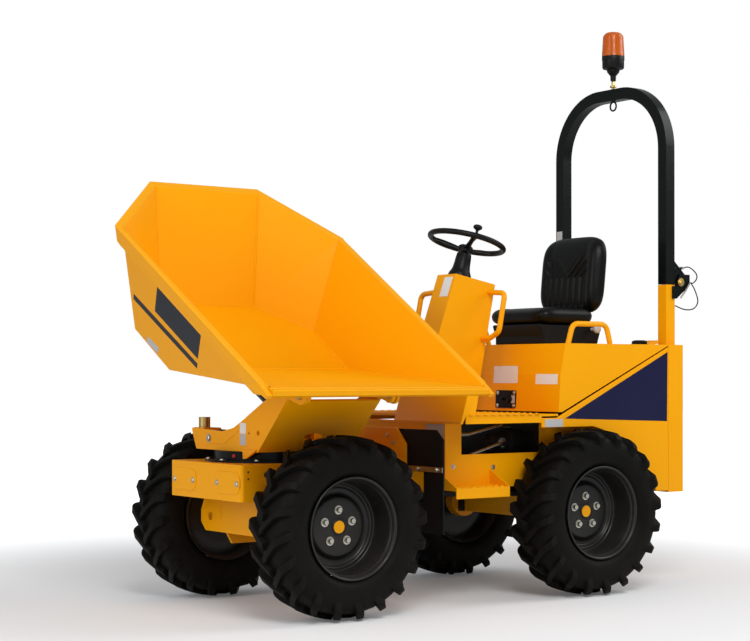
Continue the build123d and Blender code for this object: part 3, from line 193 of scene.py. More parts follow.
# the lift is slight under the machine, where its shadow lies, and full where the floor meets the backdrop
ground = add_node(tree, "ShaderNodeTexCoord").outputs["Object"]
apart = add_node(tree, "ShaderNodeVectorMath", ground, MID, operation="DISTANCE")
ramp = add_node(tree, "ShaderNodeMapRange", interpolation_type="SMOOTHSTEP", Value=apart.outputs["Value"],
                From_Min=1.6, From_Max=5.5, To_Min=0.08, To_Max=1.0)
level = calc(tree, "MULTIPLY", seen_mask(tree), ramp.outputs["Result"])
matt = add_node(tree, "ShaderNodeBsdfDiffuse", Color=(0.82, 0.82, 0.82, 1.0))
lift = add_node(tree, "ShaderNodeEmission", Color=(1.0, 1.0, 1.0, 1.0), Strength=level)
both = add_node(tree, "ShaderNodeAddShader", matt.outputs[0], lift.outputs[0])
add_node(tree, "ShaderNodeOutputMaterial", Surface=both.outputs[0])
floor_mesh.materials.append(floor_finish)

# %% [markdown]
# ## Shared effects as node groups
# Paint, rubber and plastic share a few effects. Each is a node group with named inputs, so one fix mends
# every material. A group gives out only masks, colours and heights; the shader itself stays outside.


# %% Group helpers
def new_group(name, inputs, outputs):
    """An empty node group. inputs maps names to defaults, outputs maps names to kinds."""
    group = bpy.data.node_groups.new(name, "ShaderNodeTree")
    for label, value in inputs.items():
        kind = "Color" if isinstance(value, tuple) else "Float"
        socket = group.interface.new_socket(label, in_out="INPUT", socket_type="NodeSocket" + kind)
        socket.default_value = value
    for label, kind in outputs.items():
        group.interface.new_socket(label, in_out="OUTPUT", socket_type="NodeSocket" + kind)
    enter = group.nodes.new("NodeGroupInput")
    leave = group.nodes.new("NodeGroupOutput")
    return group, enter.outputs, leave.inputs


def object_noise(tree, scale, detail, rough=0.55):
    """Noise on Object coordinates. The scale is a number or an output."""
    place = add_node(tree, "ShaderNodeTexCoord").outputs["Object"]
    noise = add_node(tree, "ShaderNodeTexNoise", Vector=place, Scale=scale, Detail=detail, Roughness=rough)
    return noise.outputs["Fac"]


# tone: the colour, made a little lighter and darker in soft patches, so no panel is one flat colour
tone_inputs = {"Color": (1, 1, 1, 1), "Scale": 3.0, "Amount": 0.1}
tone_group, enter, leave = new_group("tone", tone_inputs, {"Color": "Color"})
shift = calc(tone_group, "SUBTRACT", object_noise(tone_group, enter["Scale"], 4.0), 0.5)
gain = calc(tone_group, "MULTIPLY_ADD", shift, enter["Amount"], 1.0)
scaled = add_node(tone_group, "ShaderNodeVectorMath", enter["Color"], operation="SCALE", Scale=gain)
tone_group.links.new(scaled.outputs[0], leave["Color"])

# grain: a fine height for orange peel, rubber skin or moulded plastic
grain_group, enter, leave = new_group("grain", {"Scale": 300.0, "Height": 0.5}, {"Height": "Float"})
height = calc(grain_group, "MULTIPLY", object_noise(grain_group, enter["Scale"], 2.0), enter["Height"])
grain_group.links.new(height, leave["Height"])

# dust: thickest near the ground, broken up by noise, and gone above a given height
dust_group, enter, leave = new_group("dust", {"Top": 0.9, "Amount": 0.3}, {"Mask": "Float"})
coords = add_node(dust_group, "ShaderNodeTexCoord")
split = add_node(dust_group, "ShaderNodeSeparateXYZ", coords.outputs["Object"])
fade = add_node(dust_group, "ShaderNodeMapRange", Value=split.outputs["Z"], From_Min=0.0,
                From_Max=enter["Top"], To_Min=1.0, To_Max=0.0)
patches = object_noise(dust_group, 9.0, 5.0, 0.65)
broken = calc(dust_group, "MULTIPLY", fade.outputs["Result"], patches)
dust_group.links.new(calc(dust_group, "MULTIPLY", broken, enter["Amount"]), leave["Mask"])


# %% [markdown]
# ## Finishes
# One function builds every finish from the groups above: base colour with tone, roughness that breaks up
# in patches, a fine bump, and dust low down. Each finish then differs only by its numbers.


# %% A finish from named values
DUST_COLOR = (0.33, 0.29, 0.23, 1.0)


def finish(name, color, rough, tone=0.08, tone_scale=3.0, rough_spread=0.08, grain=(350.0, 0.0006),
           dust=(0.0, 0.0), metallic=0.0, coat=0.0, bump=0.3, specular=0.28, **extra):
    """A Principled material. grain is (scale, depth in metres); dust is (height in metres, amount)."""
    mat = bpy.data.materials.new(name)
    mat.use_nodes = True
    tree = mat.node_tree
    toned = add_node(tree, "ShaderNodeGroup", node_tree=tone_group, Color=(*color, 1.0), Scale=tone_scale,
                     Amount=tone)
    last = toned.outputs["Color"]
    spread = add_node(tree, "ShaderNodeMapRange", Value=object_noise(tree, 6.0, 5.0, 0.5),
                      To_Min=max(rough - rough_spread, 0.03), To_Max=min(rough + rough_spread, 1.0))
    rough_out = spread.outputs["Result"]
    if dust[1] > 0:
        mask = add_node(tree, "ShaderNodeGroup", node_tree=dust_group, Top=dust[0], Amount=dust[1]).outputs[0]
        cover = add_node(tree, "ShaderNodeMix", data_type="RGBA", Factor=mask, A=last, B=DUST_COLOR)
        last = cover.outputs["Result"]
        rough_out = calc(tree, "ADD", rough_out, mask)
    peel = add_node(tree, "ShaderNodeGroup", node_tree=grain_group, Scale=grain[0], Height=1.0)
    relief = add_node(tree, "ShaderNodeBump", Strength=bump, Distance=grain[1], Height=peel.outputs[0])
    fill(tree, tree.nodes["Principled BSDF"], Base_Color=last, Roughness=rough_out, Metallic=metallic,
         Coat_Weight=coat, Specular_IOR_Level=specular, Normal=relief.outputs["Normal"], **extra)
    return mat


# %% The finishes of this machine
amber = finish("amber_enamel", (0.94, 0.39, 0.0008), 0.32, tone=0.05, tone_scale=2.0, rough_spread=0.07,
               grain=(420.0, 0.0004), coat=0.02, dust=(0.6, 0.05), specular=0.12)
black_enamel = finish("black_enamel", (0.0032, 0.0046, 0.0042), 0.27, tone=0.3, grain=(500.0, 0.0004),
                      coat=0.03, dust=(0.7, 0.04), specular=0.15)
wheel_black = finish("wheel_black", (0.008, 0.008, 0.008), 0.33, tone=0.3, grain=(450.0, 0.0005),
                     coat=0.08, dust=(0.9, 0.10))
tread_rubber = finish("tread_rubber", (0.0032, 0.0030, 0.0025), 0.55, tone=0.5, tone_scale=9.0,
                      rough_spread=0.12, grain=(260.0, 0.0012), dust=(0.85, 0.03), bump=0.5, specular=0.08)
sheet_rubber = finish("sheet_rubber", (0.004, 0.004, 0.004), 0.5, tone=0.4, grain=(180.0, 0.001),
                      dust=(0.8, 0.05), specular=0.12)
bare_steel = finish("bare_steel", (0.46, 0.45, 0.43), 0.36, tone=0.25, tone_scale=20.0,
                    grain=(700.0, 0.0003), metallic=1.0)
zinc = finish("zinc_plate", (0.62, 0.60, 0.52), 0.3, tone=0.2, tone_scale=30.0, grain=(800.0, 0.0002),
              metallic=1.0)
brass_zinc = finish("passivated_zinc", (0.62, 0.44, 0.16), 0.3, tone=0.25, tone_scale=25.0,
                    grain=(700.0, 0.0003), metallic=1.0)
rod_chrome = finish("rod_chrome", (0.72, 0.73, 0.74), 0.1, tone=0.05, rough_spread=0.04,
                    grain=(900.0, 0.0001), metallic=1.0)
# a dark cast finish for the engine and the pump, also used as painted shade inside the rear chassis and on
# the hole discs
cast_dark = finish("cast_dark", (0.010, 0.010, 0.010), 0.6, tone=0.5, tone_scale=14.0,
                   grain=(240.0, 0.0015), dust=(1.0, 0.08))
black_plastic = finish("black_plastic", (0.0045, 0.0045, 0.0045), 0.4, tone=0.3, grain=(520.0, 0.0007),
                       bump=0.4, specular=0.2)
seat_vinyl = finish("seat_vinyl", (0.0032, 0.0034, 0.0028), 0.34, tone=0.4, tone_scale=8.0,
                    grain=(430.0, 0.0009), bump=0.45, specular=0.17)
navy_vinyl = finish("navy_vinyl", (0.005, 0.006, 0.042), 0.3, tone=0.1, grain=(500.0, 0.0002))
dark_vinyl = finish("dark_vinyl", (0.004, 0.005, 0.012), 0.3, tone=0.15, grain=(500.0, 0.0002))
white_vinyl = finish("white_vinyl", (0.80, 0.80, 0.78), 0.35, tone=0.04, grain=(500.0, 0.0002))
grey_vinyl = finish("grey_vinyl", (0.50, 0.50, 0.50), 0.35, tone=0.08, grain=(500.0, 0.0002))
red_plastic = finish("red_plastic", (0.55, 0.02, 0.015), 0.35, tone=0.15, grain=(500.0, 0.0004))
lens_amber = finish("lens_amber", (0.80, 0.19, 0.006), 0.12, tone=0.05, rough_spread=0.03,
                    grain=(200.0, 0.0004), Transmission_Weight=0.55, IOR=1.49)
print("finishes", len(bpy.data.materials))

# %% [markdown]
# ## Surface helpers
# Every new piece is a surface computed with numpy: either a profile turned round an axis, a ring carried
# along a path, or an outline pushed through a thickness. Whole arrays are worked out at once and handed to
# the mesh, and each finished piece rides on the CAD body that it belongs to.


# %% Mesh, shading and riding
def new_piece(name, shape, material, sharp=32.0, close=False):
    """A mesh object from a (places, faces) pair, shaded smooth below the sharp angle."""
    verts, faces = shape
    mesh = bpy.data.meshes.new(name)
    mesh.from_pydata(np.asarray(verts, float).tolist(), [], [list(map(int, face)) for face in faces])
    work = bmesh.new()
    work.from_mesh(mesh)
    if close:
        bmesh.ops.remove_doubles(work, verts=work.verts, dist=1e-5)
    bmesh.ops.recalc_face_normals(work, faces=work.faces)
    work.to_mesh(mesh)
    work.free()
    mesh.shade_smooth()
    mesh.set_sharp_from_angle(angle=math.radians(sharp))
    mesh.materials.append(material)
    return placed(name, mesh)


def dress(piece, body, slot_name, *nodes):
    """Makes a piece ride on a body and hides any CAD nodes it stands for. slot_name is not used."""
    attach(piece, body)
    if nodes:
        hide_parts(*nodes)
    return piece


def fitted(name, shape, material, body, slot_name, *nodes, sharp=32.0, close=False):
    """A new piece, dressed as soon as it is made."""
    return dress(new_piece(name, shape, material, sharp, close), body, slot_name, *nodes)


def grid_faces(rows, columns, wrap_rows=False, wrap_columns=False, start=0):
    """Quads of a rows by columns grid of points, joined round at its ends where asked."""
    r = np.arange(rows if wrap_rows else rows - 1)
    c = np.arange(columns if wrap_columns else columns - 1)
    rr, cc = np.meshgrid(r, c, indexing="ij")
    r2, c2 = (rr + 1) % rows, (cc + 1) % columns
    quads = np.stack([rr * columns + cc, r2 * columns + cc, r2 * columns + c2, rr * columns + c2], -1)
    return (quads.reshape(-1, 4) + start).tolist()


def capped_faces(rows, columns, start=0):
    """The faces of rings in a row, with the first and the last ring closed."""
    last = start + (rows - 1) * columns
    caps = [list(range(first, first + columns)) for first in (start, last)]
    return grid_faces(rows, columns, False, True, start) + caps


def turned(profile, centre, axis, around, steps, ring=False):
    """Profile rows (r, a) turned round an axis: centre + axis a + r (around cos t + third sin t)."""
    profile = np.asarray(profile, float)
    third = np.cross(axis, around)
    turn = np.linspace(0, 2 * np.pi, steps, endpoint=False)
    circle = round_about(0.0, 1.0, around, third, turn)
    points = centre + profile[None, :, 1, None] * axis + profile[None, :, 0, None] * circle[:, None, :]
    return points.reshape(-1, 3), grid_faces(steps, len(profile), True, ring)


def lathe(name, profile, centre, axis, around, steps, material, body, slot_name, *nodes, ring=False,
          sharp=32.0):
    """A turned piece. ring closes the profile on itself; otherwise its ends should lie on the axis."""
    shape = turned(profile, centre, axis, around, steps, ring)
    return fitted(name, shape, material, body, slot_name, *nodes, sharp=sharp, close=True)


def smooth_path(points, per_span=8):
    """Catmull-Rom curve: cubic spans whose slopes at a point are half the step between its neighbours."""
    p = np.asarray(points, float)
    p = np.vstack([2 * p[0] - p[1], p, 2 * p[-1] - p[-2]])
    t = np.linspace(0, 1, per_span, endpoint=False)[None, :, None]
    a, b, c, d = p[:-3, None], p[1:-2, None], p[2:-1, None], p[3:, None]
    curve = 0.5 * (2 * b + (c - a) * t + (2 * a - 5 * b + 4 * c - d) * t**2 + (3 * b - a - 3 * c + d) * t**3)
    return np.vstack([curve.reshape(-1, p.shape[1]), p[-2:-1]])


def bent_path(points, radius, per_arc=8):
    """Straight runs joined by arcs of one radius: the centre line of a bent tube."""
    p = np.asarray(points, float)
    out = [p[:1]]
    for a, b, c in zip(p[:-2], p[1:-1], p[2:]):
        u, v = (a - b) / np.linalg.norm(a - b), (c - b) / np.linalg.norm(c - b)
        half = math.acos(np.clip(np.dot(u, v), -1, 1)) / 2
        reach = radius / math.tan(half)
        centre = b + (u + v) / np.linalg.norm(u + v) * radius / math.sin(half)
        start, end = b + u * reach - centre, b + v * reach - centre
        sweep = math.pi - 2 * half
        t = np.linspace(0, 1, per_arc + 1)[:, None]
        out.append(centre + (np.sin((1 - t) * sweep) * start + np.sin(t * sweep) * end) / math.sin(sweep))
    out.append(p[-1:])
    return np.vstack(out)


def carried(path, ring, closed=False, up=None):
    """A ring of (across, up) offsets carried along a path: point = path + a across + b upward, untwisted."""
    path = np.asarray(path, float)
    ring = np.asarray(ring, float)
    if closed:
        tangent = np.roll(path, -1, 0) - np.roll(path, 1, 0)
    else:
        tangent = np.gradient(path, axis=0)
    tangent /= np.linalg.norm(tangent, axis=1, keepdims=True)
    if up is None:
        spread = np.linalg.svd(path - path.mean(0), full_matrices=True)[2][2]
        up = spread if abs(np.dot(spread, tangent[0])) < 0.9 else UP
    across = np.cross(np.broadcast_to(np.asarray(up, float), tangent.shape), tangent)
    across /= np.linalg.norm(across, axis=1, keepdims=True)
    upward = np.cross(tangent, across)
    aside = ring[None, :, 0, None] * across[:, None]
    points = path[:, None] + aside + ring[None, :, 1, None] * upward[:, None]
    if closed:
        return points.reshape(-1, 3), grid_faces(len(path), len(ring), True, True)
    return points.reshape(-1, 3), capped_faces(len(path), len(ring))


def round_ring(radius, steps=14):
    """A circle of (across, up) offsets."""
    turn = np.linspace(0, 2 * np.pi, steps, endpoint=False)
    return radius * np.stack([np.cos(turn), np.sin(turn)], -1)


def tube(name, path, radius, material, body, slot_name, closed=False, up=None, steps=14):
    """A round bar along a path."""
    return fitted(name, carried(path, round_ring(radius, steps), closed, up), material, body, slot_name)


def plate_mesh(outline, normal, thickness):
    """A flat plate: an outline of 3-D points, and the same points moved by thickness along the normal."""
    outline = np.asarray(outline, float)
    count = len(outline)
    points = np.vstack([outline, outline + np.asarray(normal, float) * thickness])
    near = np.arange(count)
    faces = np.stack([near, (near + 1) % count, (near + 1) % count + count, near + count], -1).tolist()
    return points, faces + [list(range(count)), list(range(count, 2 * count))]


def joined(parts):
    """Several (points, faces) pairs as one, with the corner numbers moved up."""
    points, faces, start = [], [], 0
    for p, f in parts:
        points.append(np.asarray(p, float))
        faces += [[i + start for i in face] for face in f]
        start += len(p)
    return np.vstack(points), faces


def merged(mesh, angle):
    """A CAD mesh with its corners joined, and its triangles merged where they bend less than the angle."""
    work = bmesh.new()
    work.from_mesh(mesh)
    bmesh.ops.remove_doubles(work, verts=work.verts, dist=2e-5)
    bmesh.ops.dissolve_limit(work, angle_limit=math.radians(angle), verts=work.verts, edges=work.edges)
    return work


def repaint(mesh, material):
    """The mesh takes one finish in place of what it had."""
    mesh.materials.clear()
    mesh.materials.append(material)


def rounded(node, width, body, material, slot_name, segments=2, angle=28.0):
    """A merged copy of a CAD node with its sharp edges bevelled, which then stands for that node."""
    mesh = frame["nodes"][node].data.copy()
    mesh.name = node + "_rounded"
    work = merged(mesh, 0.6)
    work.to_mesh(mesh)
    work.free()
    repaint(mesh, material)
    mesh.shade_smooth()
    mesh.set_sharp_from_angle(angle=math.radians(angle))
    obj = placed(node + "_rounded", mesh)
    bevel = obj.modifiers.new("rounding", "BEVEL")
    bevel.width = width
    bevel.segments = segments
    bevel.limit_method = "ANGLE"
    bevel.angle_limit = math.radians(angle)
    bevel.use_clamp_overlap = True
    bevel.harden_normals = True
    return dress(obj, body, slot_name, node)


def sideways(out):
    """A unit direction square to another: its cross product with one that no piece here faces."""
    side = np.cross(out, [0.3, 0.2, 1.0])
    return side / np.linalg.norm(side)


def hex_bolts(name, places, out, radius, height, body, material=zinc):
    """Hexagon heads on washers that face out: rings at place + radius r around + height h out."""
    out = np.asarray(out, float) / np.linalg.norm(out)
    side = sideways(out)
    washer = [(1.5, -0.1), (1.5, 0.18), (1.05, 0.2)]
    head = [(1.0, 0.2), (1.0, 0.85), (0.86, 1.0)]
    parts = []
    for place in places:
        for rings, count in ((washer, 18), (head, 6)):
            turn = np.linspace(0, 2 * np.pi, count, endpoint=False)
            circles = [round_about(place + out * height * h, radius * r, side, np.cross(out, side), turn)
                       for r, h in rings]
            parts.append((np.vstack(circles), capped_faces(len(rings), count)))
    return fitted(name, joined(parts), material, body, "plated_steel")


# %% [markdown]
# ## Tyres
# A tractor-pattern tyre is a smooth carcass with tall bars moulded on it. The bars run from the middle of
# the tread out over the shoulder, and the bars of one side fall between those of the other. The carcass is
# a turned profile. A bar is a chamfered section carried along a line on the carcass, and all the bars are
# the same array turned round the axle, so the tyre costs one computation.

# %% Tyre shape
TYRE_R = 0.380
BARS = 20
# the tread falls away beyond this distance from its middle, by this much for each metre
SHOULDER_AT = 0.03
SHOULDER_FALL = 0.09
# carcass half profile: distance from the middle of the tread, then radius
carcass_half = smooth_path([(0.000, 0.3560), (0.045, 0.3550), (0.085, 0.3480), (0.1090, 0.3320),
                            (0.1195, 0.3050), (0.1235, 0.2700), (0.1180, 0.2380), (0.1040, 0.2200),
                            (0.0975, 0.2130)], 5)
carcass = np.vstack([carcass_half[::-1] * [-1, 1], carcass_half[1:]])
inner = np.array([(0.0930, 0.2110), (0.0, 0.2080), (-0.0930, 0.2110)])
carcass = np.vstack([carcass, inner])[:, ::-1]

# a bar: stations along it as (distance from the middle, radius of its foot, turn, height, half width)
bar_line = smooth_path([(-0.010, 0.3540, 0.000, 0.0260, 0.0150), (0.030, 0.3540, 0.085, 0.0258, 0.0155),
                        (0.065, 0.3500, 0.165, 0.0270, 0.0165), (0.092, 0.3440, 0.222, 0.0300, 0.0180),
                        (0.1120, 0.3300, 0.258, 0.0220, 0.0190), (0.1170, 0.3100, 0.275, 0.0070, 0.0180),
                        (0.1190, 0.2920, 0.285, 0.0005, 0.0150)], 3)
bar_section = np.array([(-1.35, -0.20), (-1.0, 0.88), (-0.84, 1.0), (0.84, 1.0), (1.0, 0.88), (1.35, -0.20)])


def bar_points(side):
    """One bar as stations x section x (along the axle, radius, turn): foot + section across and out."""
    along, foot, turn, height, half = bar_line.T
    slope = np.gradient(foot) / np.gradient(along)
    out = np.stack([-slope, np.ones_like(slope)], -1)
    out /= np.linalg.norm(out, axis=1, keepdims=True)
    # the last six stations turn until they face sideways
    out[-6:, 0] = np.linspace(out[-7, 0], 1.0, 6)
    out[-6:, 1] = np.sqrt(np.clip(1 - out[-6:, 0] ** 2, 0, 1))
    lift = bar_section[None, :, 1] * height[:, None]
    a = along[:, None] + out[:, :1] * lift
    r = foot[:, None] + out[:, 1:] * lift
    r = np.minimum(r, TYRE_R - 0.0004 - SHOULDER_FALL * np.clip(a - SHOULDER_AT, 0, None))
    t = turn[:, None] + bar_section[None, :, 0] * (half / TYRE_R)[:, None]
    return np.stack([side * a, r, t], -1)


def tyre_mesh(centre):
    """Carcass and bars round a wheel centre."""
    parts = [turned(carcass, centre, LEFT, FORWARD, 96, ring=True)]
    turns = np.arange(BARS) * 2 * np.pi / BARS
    for side, stagger in ((1, 0.0), (-1, np.pi / BARS)):
        one = bar_points(side)
        stations, count = one.shape[:2]
        angle = one[None, ..., 2] + (turns + stagger)[:, None, None]
        radius = np.broadcast_to(one[None, ..., 1], angle.shape)
        along = np.broadcast_to(one[None, ..., 0], angle.shape)
        # on the leading face the turn grows upwards, so a bar's outer end is higher than its inner end
        points = np.stack([radius * np.cos(angle), along, radius * np.sin(angle)], -1).reshape(-1, 3) + centre
        faces = []
        for k in range(BARS):
            faces += capped_faces(stations, count, k * stations * count)
        parts.append((points, faces))
    return joined(parts)


for place, centre in WHEELS.items():
    tyre = fitted("tyre_" + place + "_bars", tyre_mesh(centre), tread_rubber, "wheel_" + place,
                  "rubber_tread", "tyre_" + place, sharp=28.0)
print("tyre faces", len(tyre.data.polygons))

# %% [markdown]
# ## Wheels
# The wheels are deep dished discs welded into a rolled rim. Their look comes from rings of soft highlights,
# so the profile is drawn with its real steps: lip, bead seat, drop, barrel, two rings and the flat that
# carries five studs. It is one closed profile, turned round the axle.

# %% Wheel discs
# radius and distance outwards from the middle of the tyre, in millimetres
rim_front = smooth_path([(211, 107), (212, 111), (208, 112), (203, 109), (199, 101), (197, 94), (193, 88),
                         (191, 78), (190, 40), (189, 0), (186, -16), (180, -22), (172, -20), (165, -24),
                         (158, -33), (140, -36), (131, -30), (126, -18), (120, -13), (112, -12),
                         (70, -12)], 3)
rim_back = [(70, -39), (110, -39), (150, -46), (186, -40), (191, -88), (196, -100), (204, -108), (211, -111),
            (212, -106), (206, -99), (202, -88), (199.5, -60), (199.5, 88), (203, 98)]
hub_front = smooth_path([(0, -6), (20, -6), (26, -4), (31, -3), (34, -6), (36, -11), (70, -12.2)], 3)
rim_profile = np.vstack([rim_front, rim_back]) / 1000.0
hub_profile = np.vstack([hub_front, [(70, -30), (0, -30)]]) / 1000.0
STUD_CIRCLE_R = 0.070
stud_turns = math.pi / 2 + np.arange(5) * 2 * math.pi / 5
for place, centre in WHEELS.items():
    body = "wheel_" + place
    axis = LEFT * (1 if centre[1] > MID[1] else -1)
    lathe("rim_" + place + "_spun", rim_profile, centre, axis, UP, 96, wheel_black, body, "paint_dark",
          "rim_" + place, ring=True, sharp=40)
    lathe("hub_" + place, hub_profile, centre, axis, UP, 48, wheel_black, body, "paint_dark", sharp=40)
    studs = round_about(centre - 0.012 * axis, STUD_CIRCLE_R, FORWARD, UP, stud_turns)
    hex_bolts("studs_" + place, studs, axis, 0.0125, 0.017, body)

# %% [markdown]
# ## Pressed and welded steel
# Sheet steel never ends in a knife edge. Each steel piece of the CAD model is copied, its coplanar triangles
# are merged and its edges are rounded by a bevel, so that every fold catches a line of light. Pieces that
# are already round keep the CAD mesh and only take a finish.

# %% Rounded steelwork
# plain amber nodes and their edge widths in metres, by body; then the rest, with body, finish and slot
AMBER = {
    "skip": {"skip_shell": 0.0020, "skip_rim": 0.0040, "skip_lugs": 0.0030},
    "swivel": {"swivel_frame": 0.0025},
    "front_frame": {"front_chassis": 0.0030, "flap_beam": 0.0020, "front_axle": 0.0040},
    "rear_frame": {"rear_chassis": 0.0030, "rear_axle": 0.0040, "rear_weight": 0.0060, "wings": 0.0040,
                   "footplate": 0.0020, "steps": 0.0015, "console": 0.0100},
    "bonnet": {"bonnet": 0.0120},
}
STEELWORK = [(node, width, body, amber, "paint_amber")
             for body, nodes in AMBER.items() for node, width in nodes.items()]
STEELWORK += [
    ("hoop_posts", 0.0030, "rear_frame", amber, "paint_amber"),
    ("rops_hoop", 0.0070, "rops_hoop", black_enamel, "paint_black"),
    ("flaps", 0.0020, "front_frame", sheet_rubber, "rubber_sheet"),
    ("seat_base", 0.0100, "bonnet", black_plastic, "plastic_black"),
    ("engine_block", 0.0100, "rear_frame", cast_dark, "cast_dark"),
]
shown = {row[0]: rounded(*row) for row in STEELWORK}


def face_centres(mesh):
    """The middle of each face, measured from the machine's own middle."""
    centres = np.empty(3 * len(mesh.polygons))
    mesh.polygons.foreach_get("center", centres)
    return centres.reshape(-1, 3) - MID


def second_finish(mesh, material, where):
    """The faces picked out by a mask take a second material."""
    mesh.materials.append(material)
    mesh.polygons.foreach_set("material_index", where.astype(np.int32))


# the hoop's posts are amber tubes with black ears: a face belongs to an ear if it lies off the tube
TUBE_R = 0.029
EAR_BACK = -1.3395
posts = shown["hoop_posts"].data
centres = face_centres(posts)
post_low, post_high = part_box("rops_hoop")
post_half = (post_high[1] - post_low[1]) / 2 - TUBE_R
off_tube = np.abs(np.abs(centres[:, 1]) - post_half) > TUBE_R + 0.0002
second_finish(posts, black_enamel, off_tube | (centres[:, 0] < EAR_BACK))

# the rear chassis is painted dark inside its walls, behind its front bulkhead: painted shade for the engine
# bay seen through the window
INNER_WALL = 0.3545
BULKHEAD = -0.005
frames = shown["rear_chassis"].data
centres = face_centres(frames)
second_finish(frames, cast_dark, (np.abs(centres[:, 1]) < INNER_WALL) & (centres[:, 0] < BULKHEAD))

# CAD nodes that keep their mesh and take a finish
KEPT = [
    (amber, ("handles", "grab_rails")),
    (black_enamel, ("slew_ring_lower", "slew_ring_upper", "tip_barrel", "steer_barrel")),
    (rod_chrome, ("tip_rod", "steer_rod")),
    (brass_zinc, ("swivel_pins",)),
    (bare_steel, ("pivot_pin",)),
    (black_plastic, ("control_plate",)),
]
for material, nodes in KEPT:
    for node in nodes:
        repaint(frame["nodes"][node].data, material)

# %% [markdown]
# ## Seats for trim
# Decals, covers and bolts lie on flat faces of the CAD model. The plane of such a face is read from the
# model: of its large planes looking the asked way, the outermost. A decal's outline is then
# given by two coordinates, and the third follows from the plane.


# %% Faces, outlines and plates
def face_of(node, way, power=6):
    """(normal, offset) of a node's outermost plane looking that way with a large area x cosine^power."""
    mesh = frame["nodes"][node].data
    count = len(mesh.polygons)
    normal, centre, area = np.empty(3 * count), np.empty(3 * count), np.empty(count)
    mesh.polygons.foreach_get("normal", normal)
    mesh.polygons.foreach_get("center", centre)
    mesh.polygons.foreach_get("area", area)
    normal, centre = normal.reshape(-1, 3), centre.reshape(-1, 3)
    way = np.asarray(way, float) / np.linalg.norm(way)
    offset = (normal * centre).sum(1)
    key = np.round(np.column_stack([normal * 60, offset * 400])).astype(int)
    group = np.unique(key, axis=0, return_inverse=True)[1].ravel()
    score = np.bincount(group, area * np.clip(normal @ way, 0, 1) ** power)
    large = np.flatnonzero(score > 0.3 * score.max())
    reach = [float((centre[group == g] @ way).max()) for g in large]
    best = group == large[int(np.argmax(reach))]
    plane_normal = (normal[best] * area[best, None]).sum(0)
    plane_normal /= np.linalg.norm(plane_normal)
    return plane_normal, float(np.average(centre[best] @ plane_normal, weights=area[best]))


def on_face(face, rows, axis):
    """Places on a plane from rows of (x, y, z) in machine millimetres; the one on that axis is solved for."""
    normal, offset = face
    points = spots(rows)
    points[:, axis] = 0.0
    points[:, axis] = (offset - points @ normal) / normal[axis]
    return points


def soft_rectangle(half_wide, half_high, radius, steps=6):
    """(across, up) points of a rectangle with round corners: each corner is a quarter circle."""
    quarter = np.linspace(0, np.pi / 2, steps + 1)
    corners = []
    for k, (a, b) in enumerate(((1, 1), (-1, 1), (-1, -1), (1, -1))):
        turn = quarter + k * np.pi / 2
        middle = np.array([a * (half_wide - radius), b * (half_high - radius)])
        corners.append(middle + radius * np.stack([np.cos(turn), np.sin(turn)], -1))
    return np.vstack(corners)


def laid(outline, middle, across, up):
    """A 2-D outline laid round a place in space: middle + a across + b up."""
    outline = np.asarray(outline, float)
    across, up = np.asarray(across, float), np.asarray(up, float)
    return np.asarray(middle) + outline[:, :1] * across + outline[:, 1:] * up


def decal(name, face, rows, axis, material, body, slot_name, lift=0.0003, thick=0.0005):
    """A thin film on a CAD face: the outline is solved onto the face and pushed out by its thickness."""
    outline = on_face(face, rows, axis) + face[0] * lift
    return fitted(name, plate_mesh(outline, face[0], thick), material, body, slot_name)


def label(name, face, sides, material, body, slot_name="plastic_black", **film):
    """An upright rectangle on a face that looks forward. sides are its low y, high y, low z and high z."""
    low_y, high_y, low_z, high_z = sides
    corners = [(0, low_y, low_z), (0, high_y, low_z), (0, high_y, high_z), (0, low_y, high_z)]
    return decal(name, face, corners, 0, material, body, slot_name, **film)


def drilled(name, places, radii, out, body):
    """Flat dark discs that face out: painted shade standing in for the dark inside of drilled holes."""
    circle = round_ring(1.0, 20)
    side = sideways(out)
    other = np.cross(out, side)
    parts = [plate_mesh(laid(circle * radius, place, side, other), out, 0.0004)
             for place, radius in zip(places, radii)]
    return fitted(name, joined(parts), cast_dark, body, "paint_dark")


# %% [markdown]
# ## Front end
# The box in front of the slew ring carries two flush covers, each held by two button heads, and a few
# drilled holes. Round the ring run its bolts, and the swivel frame has a label, a weld line and a bolt.

# %% Covers, holes and bolts of the front box
COVER_THICK = 0.003
box_front = face_of("front_chassis", FORWARD)
box_side = face_of("front_chassis", LEFT)
for name, middle_y, bolt_ys in (("right", -177.5, (-258, -97)), ("left", 191.5, (110, 273))):
    middle = on_face(box_front, [(0, middle_y, 560)], 0)[0]
    outline = laid(soft_rectangle(0.104, 0.047, 0.036), middle, LEFT, UP)
    cover = new_piece("box_cover_" + name, plate_mesh(outline, FORWARD, COVER_THICK), amber)
    edge = cover.modifiers.new("edge", "BEVEL")
    edge.width = 0.0015
    edge.segments = 2
    dress(cover, "front_frame", "paint_amber")
    places = on_face(box_front, [(0, y, 558) for y in bolt_ys], 0) + FORWARD * COVER_THICK
    hex_bolts("box_bolts_" + name, places, FORWARD, 0.0085, 0.006, "front_frame")
# the holes on the box side are discs of painted shade
places = on_face(box_side, [(987, 0, 608), (987, 0, 579), (902, 0, 594)], 1)
drilled("box_holes", places, (0.0045, 0.0045, 0.011), LEFT, "front_frame")

